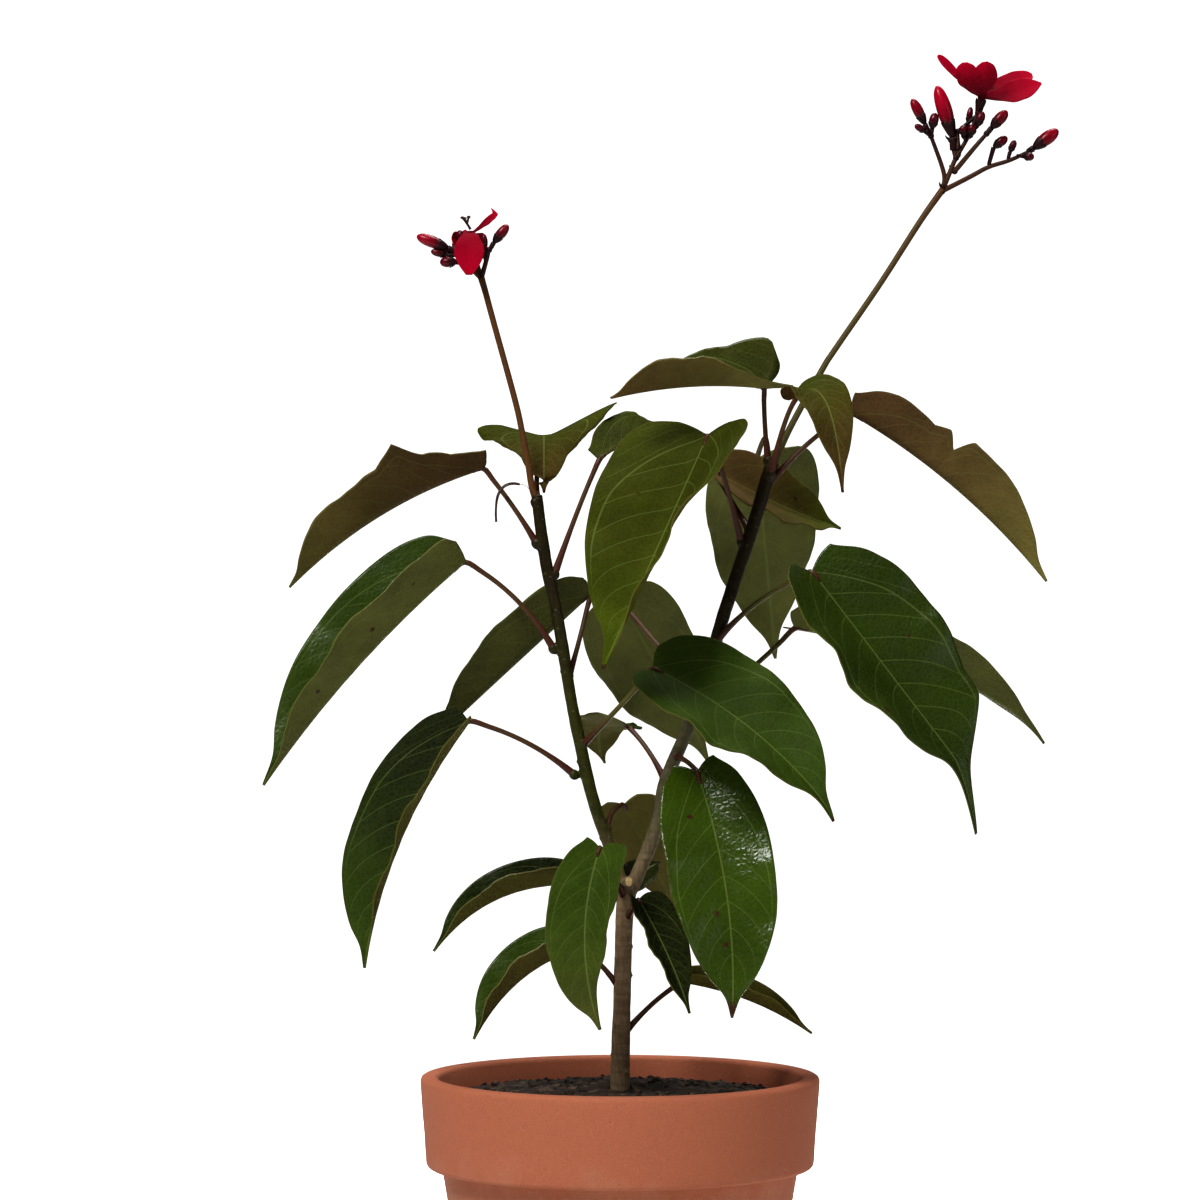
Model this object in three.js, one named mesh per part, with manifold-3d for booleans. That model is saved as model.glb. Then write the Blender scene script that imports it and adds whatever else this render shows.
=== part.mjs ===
// A potted peregrina: a young, twice-forked Jatropha integerrima in a plain terracotta pot.
// Millimetres, +Z up, +X to the viewer's right and +Y away from the viewer.
// The origin is the centre of the pot's underside.
import * as THREE from "three";
import { mergeVertices } from "three/addons/utils/BufferGeometryUtils.js";
import Module from "manifold-3d";

const wasm = await Module();
wasm.setup();

// Driving dimensions
const CLEARANCE = 0.32; // between two pieces that touch
const TURN_SIDES = 32; // facets round the pot and the soil
const POT = {
  height: 110,
  rimRadius: 60,
  collarHeight: 27,
  collarRadius: 58, // at the collar's lower edge
  shoulderRadius: 53.5, // of the wall just under the collar
  footRadius: 39,
  mouthRadius: 54.5, // inside, at the top
  floorRadius: 34, // inside, at the bottom
  floor: 8,
  edge: 1.5, // the worn edges of lip and foot
  drainRadius: 4,
  drainRing: 19,
  drains: 4,
};
const SOIL = { crown: 107, edge: 103.5, lumps: 0.7 };
const TRUNK_HOLE = { depth: 50, radius: 3.4 };
const EYE = { x: -6, y: -1300, z: 252.5 }; // the viewer's eye, level with the middle of the plant
const BLADE = { thickness: 0.7, lobe: 0.03, lobeEnd: 0.16, crease: 0.2, tip: 0.35, wave: 0.03 };
const STALK = { foot: 1.25, middle: 0.75, top: 0.9, sides: 5, steps: 5 }; // a petiole's radii
const SHOOT = { stalk: 0.95, twig: 0.85, twigEnd: 0.65, pedicel: 0.55 }; // radii in a flower cluster
const FLOWER = { filament: 0.35, throatFoot: 1, throatMouth: 1.3, wave: 0.05, claw: 0.5 };
const DRAIN_SIDES = 12;
const STEM_SIDES = 9;

// Half width of a leaf blade from stalk to tip: heart-shaped base, ovate blade, drawn-out drip tip.
const LEAF_OUTLINE = [
  [0, 0.4],
  [0.03, 0.66],
  [0.08, 0.83],
  [0.16, 0.95],
  [0.32, 1],
  [0.45, 0.97],
  [0.6, 0.85],
  [0.72, 0.66],
  [0.82, 0.42],
  [0.9, 0.16],
  [1, 0.015],
];
// A petal is widest past its middle and blunt at its end, with a narrow claw.
const PETAL_OUTLINE = [
  [0, 0.2],
  [0.25, 0.45],
  [0.5, 0.9],
  [0.7, 1],
  [0.88, 0.78],
  [1, 0.25],
];

// A bud's radius from the foot of its calyx to its tip.
const BUD = [
  [0.12, 0.8],
  [0.3, 0.85],
  [0.5, 1],
  [0.75, 0.78],
  [1, 0.25],
];

// Colours and finishes
const FINISH = {
  terracotta: new THREE.MeshStandardMaterial({ color: 0xb5694a, roughness: 0.9 }),
  soil: new THREE.MeshStandardMaterial({ color: 0x3a2a1e, roughness: 1 }),
  bark: new THREE.MeshStandardMaterial({ color: 0x4a4032, roughness: 0.8 }),
  mature: new THREE.MeshStandardMaterial({ color: 0x2c4414, roughness: 0.35, side: THREE.DoubleSide }),
  young: new THREE.MeshStandardMaterial({ color: 0x4a3a22, roughness: 0.5, side: THREE.DoubleSide }),
  stalk: new THREE.MeshStandardMaterial({ color: 0x5a4a2c, roughness: 0.6 }),
  petal: new THREE.MeshStandardMaterial({ color: 0xb4002c, roughness: 0.55, side: THREE.DoubleSide }),
  stamen: new THREE.MeshStandardMaterial({ color: 0x7a4a18, roughness: 0.7 }),
};

// Places are given as the viewer sees them: x, height above the soil where the line of sight
// crosses the stem's own plane, and depth behind that plane.

// Woody stem: centre lines, with the radius at each point.
const STEM = [
  {
    path: [[0, -TRUNK_HOLE.depth, 0], [0, -20, 0], [0, 0, 0], [0.6, 25.5, 0], [1.2, 46.5, 0], [2.1, 58.5, 0]],
    radii: [2.9, 3, 3, 2.65, 2.6, 2.9],
  },
  {
    path: [
      [2, 56, 0],
      [7.4, 67.9, 0],
      [11.7, 80.2, 0],
      [13.7, 91.1, 0],
      [20.2, 106.5, 0],
      [25.2, 121.5, 0],
      [32.5, 145.5, 0],
      [39.5, 166.5, 0],
      [44.5, 183, 0],
      [46, 187, 0],
    ],
    radii: [2.2, 2.2, 2, 2.1, 1.95, 2, 1.95, 2, 2.1, 1.9],
  },
  {
    path: [
      [2.1, 56, 0],
      [-3.9, 73.5, 0],
      [-7.2, 82.4, 0],
      [-10.2, 94.4, 0],
      [-14.7, 116, 0],
      [-18.6, 139.8, 0],
      [-21.8, 154.5, 0],
      [-23.7, 166.5, 0],
      [-24.9, 177, 0],
    ],
    radii: [2, 1.9, 1.85, 1.9, 1.8, 1.8, 1.85, 1.8, 1.7],
  },
  // The stump of a third branch, cut off short and turned to the viewer.
  { path: [[2.1, 58.5, 0], [2.4, 60.6, -4], [2.7, 60.9, -9]], radii: [1.9, 1.75, 1.7] },
];

// Leaves. stalk: where it leaves the stem, a point half way, and where the blade begins.
// arch: how far the midrib's control point stands off its chord. faces: where the upper face looks.
// left, right: how wide each half is, how far it folds up in degrees at even steps from the base to
// the tip, and its skew: under 1 the half is widest nearer the stalk, over 1 nearer the tip.
// spikes: lobes of the margin, with the place along the midrib, the reach beyond the outline and how
// far they spread to each side. lobe: how far the base reaches back past the stalk, as a part of the
// blade's length. hang: how far the tip drops.
const LEAVES = [
  {
    name: "leaf_left_high",
    finish: "young",
    stalk: [[-24.6, 161.7, 0], [-32.4, 174, 0], [-41.1, 185.4, 0]],
    tip: [-99.3, 149.4, -6],
    arch: [-4, 0, 7.5],
    faces: [-0.5, 0.05, 0.85],
    left: { width: 16.5, fold: [45], skew: 1.6 },
    right: { width: 15, fold: [35] },
    spikes: [
      { side: -1, at: 0.33, reach: 8, spread: 0.1 },
      { side: -1, at: 0.12, reach: -2, spread: 0.08 },
    ],
  },
  {
    name: "leaf_left_large",
    finish: "mature",
    stalk: [[-19.5, 130.2, 0], [-31.5, 146, -1], [-46.8, 157.2, -2]],
    tip: [-107.1, 90, -10],
    arch: [-4.4, 0, 4],
    faces: [-0.64, -0.41, 0.64],
    left: { width: 19, fold: [62] },
    right: { width: 19, fold: [62] },
    spikes: [{ side: -1, at: 0.02, reach: 5, spread: 0.1 }],
    lobe: 0.015,
  },
  {
    name: "leaf_left_low",
    finish: "mature",
    stalk: [[-13.2, 92.7, 0], [-28.5, 103, -2], [-45.6, 109.4, -4]],
    tip: [-76.8, 35.1, -12],
    arch: [-10, 0, 4],
    faces: [-0.75, -0.57, 0.32],
    left: { width: 14.8, fold: [43] },
    right: { width: 16, fold: [43], skew: 1.3 },
    lobe: 0.015,
  },
  {
    name: "leaf_left_crown",
    finish: "young",
    stalk: [[-24.3, 174, 0], [-24.9, 183, 8.5], [-22.8, 195, 20]],
    tip: [-22.8, 177.6, 4],
    arch: [0, -4, 9.5],
    faces: [0, 0.3, 1],
    left: { width: 7.5, fold: [28, 26, 14, 5, 5], skew: 1.4 },
    right: { width: 8.5, fold: [15, -3, 4, 12, 15], skew: 1.2 },
    spikes: [
      { side: 1, at: 0.12, reach: 13.5, spread: 0.55 },
      { side: -1, at: 0.1, reach: 19.5, spread: 0.52 },
    ],
  },
  {
    name: "leaf_left_sickle",
    finish: "young",
    stalk: [[-25, 174, 0], [-27.6, 179.4, -2.6], [-30.4, 180.3, -3]],
    tip: [-37.2, 168.9, -4],
    arch: [-4.4, 0, 7],
    faces: [-0.6, -0.3, 0.7],
    left: { width: 0.6, fold: [45] },
    right: { width: 0.6, fold: [45] },
  },
  {
    name: "leaf_center_back",
    finish: "mature",
    stalk: [[-20, 152.3, 0], [-12.3, 173.4, 1], [-6.3, 188, 2]],
    tip: [24, 183, 36],
    arch: [2, -3, 16.5],
    faces: [0, -0.1, 1],
    left: { width: 11.5, fold: [48], skew: 1.5 },
    right: { width: 12, fold: [30] },
    lobe: 0,
  },
  {
    name: "leaf_center_front",
    finish: "young",
    stalk: [[36.6, 162, 0], [31.2, 182.1, -6], [26.4, 195.3, -10]],
    tip: [-5.1, 125.1, -62],
    arch: [0, -12, 0],
    faces: [-0.6, -0.7, 0.4],
    left: { width: 17.5, fold: [2, 42, 58], skew: 0.66 },
    right: { width: 25, fold: [38], skew: 0.82 },
    spikes: [{ side: -1, at: 0.16, reach: 2.5, spread: 0.13 }],
  },
  {
    name: "leaf_right_crown_left",
    finish: "young",
    stalk: [[44.4, 186.5, 0], [43.5, 198, -1], [43.2, 209.6, -3]],
    tip: [-2.7, 206.3, -26],
    arch: [0, 0, 4],
    faces: [0, -0.25, 1],
    left: { width: 12.5, fold: [25, 60, 75], skew: 2 },
    right: { width: 14.5, fold: [55], skew: 0.45 },
    spikes: [{ side: 1, at: 0.02, reach: 4, spread: 0.15 }],
    lobe: 0.14,
  },
  {
    name: "leaf_right_crown_front",
    finish: "young",
    stalk: [[45.2, 182.5, -1.4], [49.2, 198.2, -4.4], [53, 206.8, -6]],
    tip: [66.9, 177.9, -30],
    arch: [4, 0, 24],
    faces: [0.3, -0.6, 0.7],
    left: { width: 8, fold: [30] },
    right: { width: 10.8, fold: [12] },
  },
  {
    name: "leaf_right_high",
    finish: "young",
    stalk: [[43.5, 179, 0], [57.6, 193.5, 2], [69.9, 201.6, 4]],
    tip: [128.1, 151.2, -6],
    arch: [4.5, 0, 5.5],
    faces: [0.65, 0.05, 0.76],
    left: { width: 14.3, fold: [70], skew: 1.2 },
    right: { width: 16, fold: [65], skew: 1.2 },
    spikes: [
      { side: -1, at: 0.29, reach: -4, spread: 0.17 },
      { side: -1, at: 0.4, reach: -6, spread: 0.05 },
      { side: 1, at: 0.29, reach: -4, spread: 0.17 },
      { side: 1, at: 0.4, reach: -6, spread: 0.05 },
    ],
  },
  {
    name: "leaf_right_mid_back",
    finish: "mature",
    stalk: [[39, 165.9, 0], [33, 176.1, 10], [28.8, 184, 14]],
    tip: [66.3, 167.1, 27],
    arch: [1, 0, -3],
    faces: [0.2, -0.7, 0.6],
    left: { width: 12, fold: [25] },
    right: { width: 14, fold: [32] },
  },
  {
    name: "leaf_right_back",
    finish: "mature",
    stalk: [[44.3, 184, 0], [43.7, 194, 16], [41.1, 188, 37]],
    tip: [46.6, 128, 64],
    arch: [0, 6, 3],
    faces: [0, 0.8, 0.5],
    left: { width: 17.7, fold: [15] },
    right: { width: 18.7, fold: [15], skew: 0.65 },
  },
  {
    name: "leaf_right_large",
    finish: "mature",
    stalk: [[28.5, 132.6, 0], [41.4, 144.9, -8], [57.6, 154.2, -14]],
    tip: [107, 89.7, -32],
    arch: [0, 0, 0],
    faces: [0.5, -0.75, 0.4],
    left: { width: 24, fold: [36, 20, 8], skew: 1.15 },
    right: { width: 25.5, fold: [27] },
    spikes: [
      { side: 1, at: 0.6, reach: 4.5, spread: 0.28 },
      { side: -1, at: 0.72, reach: 2, spread: 0.12 },
    ],
    lobe: 0.045,
    hang: 14,
  },
  {
    name: "leaf_right_behind",
    finish: "mature",
    stalk: [[20, 108.9, 0], [37.5, 123.3, 3], [52.5, 137.4, 6]],
    tip: [127.3, 105.6, 20],
    arch: [3, 0, 11],
    faces: [0.2, 0.5, 0.8],
    left: { width: 13.5, fold: [30] },
    right: { width: 13.5, fold: [30] },
    hang: 3,
  },
  {
    name: "leaf_center_low",
    finish: "mature",
    stalk: [[-11.5, 101.7, 0], [-0.6, 113.1, -12], [9.9, 125.1, -24]],
    tip: [64.2, 81.3, -44],
    arch: [5.3, 0, 6.5],
    faces: [0.4, -0.75, 0.5],
    left: { width: 18, fold: [25] },
    right: { width: 21.5, fold: [27], skew: 0.85 },
    spikes: [{ side: 1, at: 0.45, reach: 4, spread: 0.29 }],
    hang: 2,
  },
  {
    name: "leaf_center_behind",
    finish: "mature",
    stalk: [[23.5, 117.3, 0], [12.3, 130.8, 16], [0, 145.5, 30]],
    tip: [26.5, 98.9, 60],
    arch: [0, 0, 0],
    faces: [-0.2, 0.8, 0.5],
    left: { width: 18.2, fold: [15] },
    right: { width: 15, fold: [15], skew: 0.85 },
    hang: 2,
  },
  {
    name: "leaf_left_behind",
    finish: "mature",
    stalk: [[-15.5, 122, 0], [-12.3, 133.5, 8], [-9.2, 147.5, 13]],
    tip: [-55.3, 104.5, 14],
    arch: [-3, 0, -2.5],
    faces: [-0.7, 0.1, 0.7],
    left: { width: 14.2, fold: [60] },
    right: { width: 14.2, fold: [55], skew: 1.4 },
    spikes: [{ side: 1, at: 0.16, reach: 4, spread: 0.16 }],
  },
  {
    name: "leaf_center_small",
    finish: "young",
    stalk: [[13.6, 91.1, 0], [8.4, 100.5, 8], [2.8, 107.6, 14]],
    tip: [-4.5, 96.8, 42],
    arch: [-10, 0, 10],
    faces: [0, 0.36, 0.9],
    left: { width: 9.3, fold: [10] },
    right: { width: 9.3, fold: [10] },
  },
  {
    name: "leaf_front_low",
    finish: "mature",
    stalk: [[16.8, 98.6, 0], [20.4, 96.8, -14], [23.1, 94, -26]],
    tip: [33.6, 20.1, -42],
    arch: [7, -8, 0],
    faces: [0, -0.92, 0.38],
    left: { width: 15.4, fold: [12], skew: 1.12 },
    right: { width: 16.5, fold: [12], skew: 1.12 },
    lobe: 0.045,
  },
  {
    name: "leaf_front_left",
    finish: "mature",
    stalk: [[1.5, 55.6, 0], [-3.6, 66.4, -14], [-6, 71.2, -22]],
    tip: [-6, 16.5, -34],
    arch: [-9, -6, 0],
    faces: [0.1, -0.95, 0.3],
    left: { width: 11.4, fold: [50], skew: 0.55 },
    right: { width: 11.8, fold: [10], skew: 1.25 },
  },
  {
    name: "leaf_low_left",
    finish: "mature",
    stalk: [[0.6, 28, 0], [-6.9, 37.2, -2], [-13.2, 41.1, -4]],
    tip: [-44, 13.8, -10],
    arch: [-5, 0, 7],
    faces: [-0.6, -0.42, 0.67],
    left: { width: 11, fold: [62], skew: 0.85 },
    right: { width: 10.5, fold: [60] },
  },
  {
    name: "leaf_mid_left",
    finish: "mature",
    stalk: [[1.2, 54.5, 0], [-6, 60, -1], [-12, 60.5, -3]],
    tip: [-56, 40.2, -10],
    arch: [-6, 0, 11.5],
    faces: [-0.38, -0.42, 0.8],
    left: { width: 10.3, fold: [64], skew: 0.85 },
    right: { width: 8.7, fold: [62] },
  },
  {
    name: "leaf_front_right_small",
    finish: "mature",
    stalk: [[1.8, 49.3, 0], [4.6, 54.4, -8], [5.6, 55.6, -13]],
    tip: [21, 21.6, -32],
    arch: [2, -3, 1],
    faces: [0.3, -0.85, 0.4],
    left: { width: 8.5, fold: [15], skew: 0.7 },
    right: { width: 10, fold: [50], skew: 1.3 },
  },
  {
    name: "leaf_low_right",
    finish: "mature",
    stalk: [[0.5, 14.5, 0], [9.6, 24.3, 1], [18.6, 31.2, 2]],
    tip: [57.6, 15.6, 4],
    arch: [2, 0, 4.5],
    faces: [0.34, -0.42, 0.83],
    left: { width: 6.6, fold: [66] },
    right: { width: 7, fold: [66] },
  },
  {
    name: "leaf_fork_behind",
    finish: "young",
    stalk: [[-3.9, 75.9, 0], [-2.4, 81.6, 8], [1.2, 84.4, 14]],
    tip: [16.5, 53.5, 42],
    arch: [0, 0, 0],
    faces: [0, 0.75, 0.6],
    left: { width: 12.5, fold: [15] },
    right: { width: 12.5, fold: [15] },
  },
  {
    name: "leaf_fork_small",
    finish: "mature",
    stalk: [[2.2, 56.5, 0], [1.6, 58, 5], [1.2, 58.5, 8]],
    tip: [12, 66.9, 16],
    arch: [0, 0, 2],
    faces: [-0.2, -0.8, 0.5],
    left: { width: 5.5, fold: [20] },
    right: { width: 5.5, fold: [20] },
  },
];

// Flower clusters. buds: where the pedicel leaves its twig, where the bud begins, its tip, its radius.
// petals are described as leaves are. stamens: the arms of the column, each with an anther at its end.
const CYMES = [
  {
    name: "flower_stalk_right",
    stalk: [
      [45.2, 184, 0],
      [50.7, 196.5, 0],
      [60.6, 214.5, 0],
      [64.4, 220.5, 0],
      [78, 240.3, 0],
      [90, 259, 0],
      [96.9, 268.8, 0],
    ],
    twigs: [
      [[96.6, 268, 0], [97.2, 273.3, 0], [93.3, 284.7, 1]],
      [[96.6, 268, 0], [99, 273.9, 0], [100.8, 278.1, 0], [104.7, 285, 0], [107.4, 291.6, 0]],
      [[100.8, 278.1, 0], [99.3, 283.5, 0]],
      [[100.4, 274.1, 0], [106.5, 281.4, -3], [110, 285.4, -3]],
      [[96.7, 268.2, 0], [104.9, 272.4, 1], [110.6, 275.4, 1], [116.6, 277.3, 1], [122.7, 280, 1]],
      [[101.4, 281, 0], [101.2, 286, 1]],
    ],
    buds: [
      { from: [93.3, 284.3, 1], base: [91.5, 288.3, 1], tip: [87.6, 295.8, 1], radius: 1.65 },
      { from: [93.4, 284.4, 1], base: [91.6, 286, -1], tip: [88.5, 288, -2], radius: 1.1 },
      { from: [93.3, 284.3, 1], base: [93.6, 286.9, 0], tip: [94.6, 291.6, 0], radius: 1.5 },
      { from: [99.9, 280.4, 0], base: [99.9, 284.2, 0], tip: [95.1, 299.7, 0], radius: 2.4 },
      { from: [103.9, 283.8, 0], base: [104.4, 288.4, 2], tip: [105.3, 293.4, 2], radius: 1 },
      { from: [105.3, 286, 0], base: [107.1, 287.6, -3], tip: [108.9, 292, -3], radius: 1.4 },
      { from: [103.7, 283.6, 0], base: [102.9, 284.8, -2], tip: [103.2, 288, -3], radius: 1.4 },
      { from: [103.9, 283.8, 0], base: [105.4, 284.8, -3], tip: [105.7, 288.2, -4], radius: 1.4 },
      { from: [109.7, 285, -3], base: [111.4, 287.1, -3], tip: [116.1, 292.2, -3], radius: 1.8 },
      { from: [122.3, 280, 1], base: [124, 281, 1], tip: [131.4, 286.5, 1], radius: 2.1 },
      { from: [110.6, 276, 1], base: [112.1, 281.3, 0], tip: [116.1, 284.4, 0], radius: 1.5 },
      { from: [116.4, 277.8, 1], base: [117, 279.9, 1], tip: [118.5, 283.4, 1], radius: 1.1 },
      { from: [119.2, 278.8, 1], base: [121, 278.6, -1], tip: [124.2, 278.4, -2], radius: 1.3 },
    ],
    calyx: { base: [107.2, 290.9, 0], tip: [108.2, 294.9, 0], radius: 1.5 },
    petals: [
      { tip: [126, 300.4, -2], arch: [0, 0, -1.5], faces: [-0.2, -0.95, 0.5], width: 8.6, fold: 8 },
      { tip: [103.4, 306.8, -9], arch: [-2, -3, -2], faces: [0.2, 0.8, 0.7], width: 7.4, fold: 12 },
      { tip: [109.4, 307, -9.5], arch: [1, -3, -2], faces: [-0.1, 0.8, 0.7], width: 7.4, fold: 12 },
      { tip: [95.4, 309, 4], arch: [2, 2, -3], faces: [0.3, -0.9, 0.3], width: 3, fold: 20, skew: 2.2 },
      { tip: [111.8, 304.6, 10], arch: [1, 3, -2], faces: [-0.1, -0.7, 0.7], width: 7, fold: 14 },
    ],
    throat: [[108.3, 295.4, 0], [108.5, 297.6, 0.3]],
    stamens: [
      [[108.55, 298.1, 0.35], [108.9, 300.4, 0.8], [109.2, 302.4, 1.2]],
      [[108.9, 300.4, 0.8], [107.7, 302.2, 0.2]],
      [[108.9, 300.4, 0.8], [110.5, 301.9, 0.4]],
      [[108.9, 300.4, 0.8], [109, 301.8, 2.8]],
    ],
    anther: 0.62,
  },
  {
    name: "flower_stalk_left",
    stalk: [
      [-24.6, 174, 0],
      [-26.4, 179.4, 0],
      [-27.5, 186, 0],
      [-29.4, 196, 0],
      [-31.5, 205.5, 0],
      [-38.1, 229.5, 0],
      [-40.4, 238, 0],
      [-41.7, 242.4, 0],
    ],
    twigs: [
      [[-41.6, 242, 0], [-39.9, 248.1, 0], [-39.3, 250.5, 0]],
      [[-41.6, 242, 0], [-46.5, 246.9, 0], [-49.2, 250.5, 0]],
      [[-41.6, 242, 0], [-43.8, 249, 1], [-44.5, 252, 1]],
    ],
    buds: [
      { from: [-39.4, 250, 0], base: [-37.9, 252.7, 0], tip: [-33.6, 258, 0], radius: 1.6 },
      { from: [-40.3, 246.6, 0], base: [-40.8, 251, -1], tip: [-40.8, 255.3, -1], radius: 1 },
      { from: [-48.9, 250, 0], base: [-51.6, 251.1, 0], tip: [-60.9, 254.7, 0], radius: 1.9 },
      { from: [-48, 248.9, 0], base: [-52, 248.9, 0], tip: [-56.7, 250.2, 0], radius: 1.2 },
      { from: [-46, 246.4, 0], base: [-49, 246.9, -1], tip: [-54, 246.9, -1], radius: 1.7 },
      { from: [-44.3, 251.3, 1], base: [-47, 252.5, 1], tip: [-48.3, 256.4, 1], radius: 1.2 },
    ],
    calyx: { base: [-44.4, 251.3, 1], tip: [-44.7, 254.1, 1], radius: 1.4 },
    petals: [
      { tip: [-45.3, 243, -8], arch: [0, -6, 9], faces: [0, -0.8, 0.6], width: 9, fold: 8, skew: 0.7 },
      { tip: [-37.6, 262, 0], arch: [2, 0, 0], faces: [-0.6, -0.2, 0.8], width: 2.8, fold: 55 },
      { tip: [-42.3, 247.2, 9], arch: [1, 6, 7], faces: [0.2, 0.8, 0.6], width: 6, fold: 8 },
      { tip: [-46.6, 247, 8.5], arch: [-1, 6, 7], faces: [-0.2, 0.8, 0.6], width: 6, fold: 8 },
      { tip: [-48.8, 250.4, 6], arch: [-3, 3, 6], faces: [-0.5, 0.3, 0.8], width: 4.5, fold: 12 },
    ],
    throat: [[-44.75, 254.6, 1], [-44.8, 256.2, 1]],
    stamens: [
      [[-44.85, 256.7, 1], [-45.9, 258.4, 1], [-47.3, 260.2, 0.6]],
      [[-45.9, 258.4, 1], [-45.4, 260.4, 1.3]],
      [[-45.9, 258.4, 1], [-46.6, 260, 2.8]],
    ],
    anther: 0.4,
  },
];

// A place that the viewer sees, carried to its depth along the line of sight.
function seen([x, height, depth]) {
  const reach = (depth - EYE.y) / -EYE.y;
  return new THREE.Vector3(
    EYE.x + (x - EYE.x) * reach,
    depth,
    EYE.z + (SOIL.crown + height - EYE.z) * reach,
  );
}

// A closed surface as a solid that can be joined and cut.
function solidOf(vertices, triangles) {
  return new wasm.Manifold(
    new wasm.Mesh({
      numProp: 3,
      vertProperties: new Float32Array(vertices),
      triVerts: new Uint32Array(triangles),
    }),
  );
}

function solidOfGeometry(geometry) {
  const bare = geometry.clone();
  bare.deleteAttribute("normal");
  bare.deleteAttribute("uv");
  const merged = mergeVertices(bare, 1e-4);
  const corners = merged.index.array;
  const triangles = [];
  for (let i = 0; i < corners.length; i += 3) {
    const [a, b, c] = corners.slice(i, i + 3);
    if (a !== b && b !== c && c !== a) triangles.push(a, b, c);
  }
  return solidOf(merged.attributes.position.array, triangles);
}

// The value at u of a table of [u, value] pairs.
function along(table, u) {
  const next = Math.max(1, table.findIndex(([at]) => at >= u));
  const [u0, v0] = table[next - 1];
  const [u1, v1] = table[next];
  return v0 + ((v1 - v0) * (u - u0)) / (u1 - u0);
}

// The value at u of a list of values at even steps from 0 to 1.
function evenly(values, u) {
  if (values.length < 2) return values[0];
  const index = Math.min(Math.floor(u * (values.length - 1)), values.length - 2);
  return THREE.MathUtils.lerp(values[index], values[index + 1], u * (values.length - 1) - index);
}

// A round stem through the points, with a radius for each point, closed at both ends.
function tube(points, radii, sides, steps) {
  const curve = new THREE.CatmullRomCurve3(points, false, "catmullrom", 0.5);
  const frames = curve.computeFrenetFrames(steps, false);
  const vertices = [];
  const triangles = [];
  for (let i = 0; i <= steps; i++) {
    const at = curve.getUtoTmapping(i / steps);
    const centre = curve.getPoint(at);
    const radius = evenly(radii, at);
    for (let j = 0; j < sides; j++) {
      const angle = (2 * Math.PI * j) / sides;
      const rim = centre
        .clone()
        .addScaledVector(frames.normals[i], radius * Math.cos(angle))
        .addScaledVector(frames.binormals[i], radius * Math.sin(angle));
      vertices.push(...rim);
      const a = i * sides + j;
      const b = i * sides + ((j + 1) % sides);
      if (i < steps) triangles.push(a, b, a + sides, b, b + sides, a + sides);
    }
  }
  const last = steps * sides;
  for (let j = 1; j < sides - 1; j++) {
    triangles.push(0, j + 1, j);
    triangles.push(last, last + j, last + j + 1);
  }
  return solidOf(vertices, triangles);
}

// A calyx or anther: swollen below its middle and drawn in to a point.
function spindle(base, tip, radius, sides) {
  const swell = [0.5, 0.96, 0.94, 0.66, 0.25];
  const points = swell.map((_, i) => base.clone().lerp(tip, i / (swell.length - 1)));
  return tube(points, swell.map((part) => part * radius), sides, swell.length - 1);
}

function halfWidth(leaf, u, side) {
  const { width, skew = 1 } = side < 0 ? leaf.left : leaf.right;
  let half = width * along(leaf.outline, u ** skew);
  for (const spike of leaf.spikes ?? []) {
    const off = Math.abs(u - spike.at) / spike.spread;
    if (spike.side === side && off < 1) half += spike.reach * (1 - off) ** 1.2;
  }
  return Math.max(half, BLADE.tip);
}

// A point of a blade's upper face, and the way that face looks there.
// u runs from the stalk to the tip, v from the midrib to the margin; side is -1 left, 1 right.
function onBlade(leaf, u, v, side) {
  const forward = leaf.midrib.getTangent(u);
  const up = leaf.faces.clone().addScaledVector(forward, -leaf.faces.dot(forward)).normalize();
  const across = forward.clone().cross(up).multiplyScalar(side);
  const { fold } = side < 0 ? leaf.left : leaf.right;
  const tilt = THREE.MathUtils.degToRad(evenly(fold, u));
  const bend = BLADE.crease / tilt;
  const flat = Math.max(v - BLADE.crease, 0);
  const lean = tilt * Math.min(v / BLADE.crease, 1);
  const half = halfWidth(leaf, u, side);
  const out = half * (bend * Math.sin(lean) + flat * Math.cos(tilt));
  const rise = half * (bend * (1 - Math.cos(lean)) + flat * Math.sin(tilt));
  const near = Math.max(1 - u / BLADE.lobeEnd, 0);
  const back = leaf.lobe * near * near * v * (2 - v);
  const tail = Math.max((u - 0.85) / 0.15, 0);
  const wave = leaf.wave * v * v * Math.sin(6.5 * Math.PI * u + side) * Math.sin(Math.PI * u);
  const normal = up.clone().multiplyScalar(Math.cos(lean)).addScaledVector(across, -Math.sin(lean));
  const point = leaf.midrib
    .getPoint(u)
    .addScaledVector(across, out)
    .addScaledVector(up, rise)
    .addScaledVector(forward, -back)
    .addScaledVector(normal, wave);
  point.z -= (leaf.hang ?? 0) * tail * tail;
  return { point, normal };
}

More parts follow.
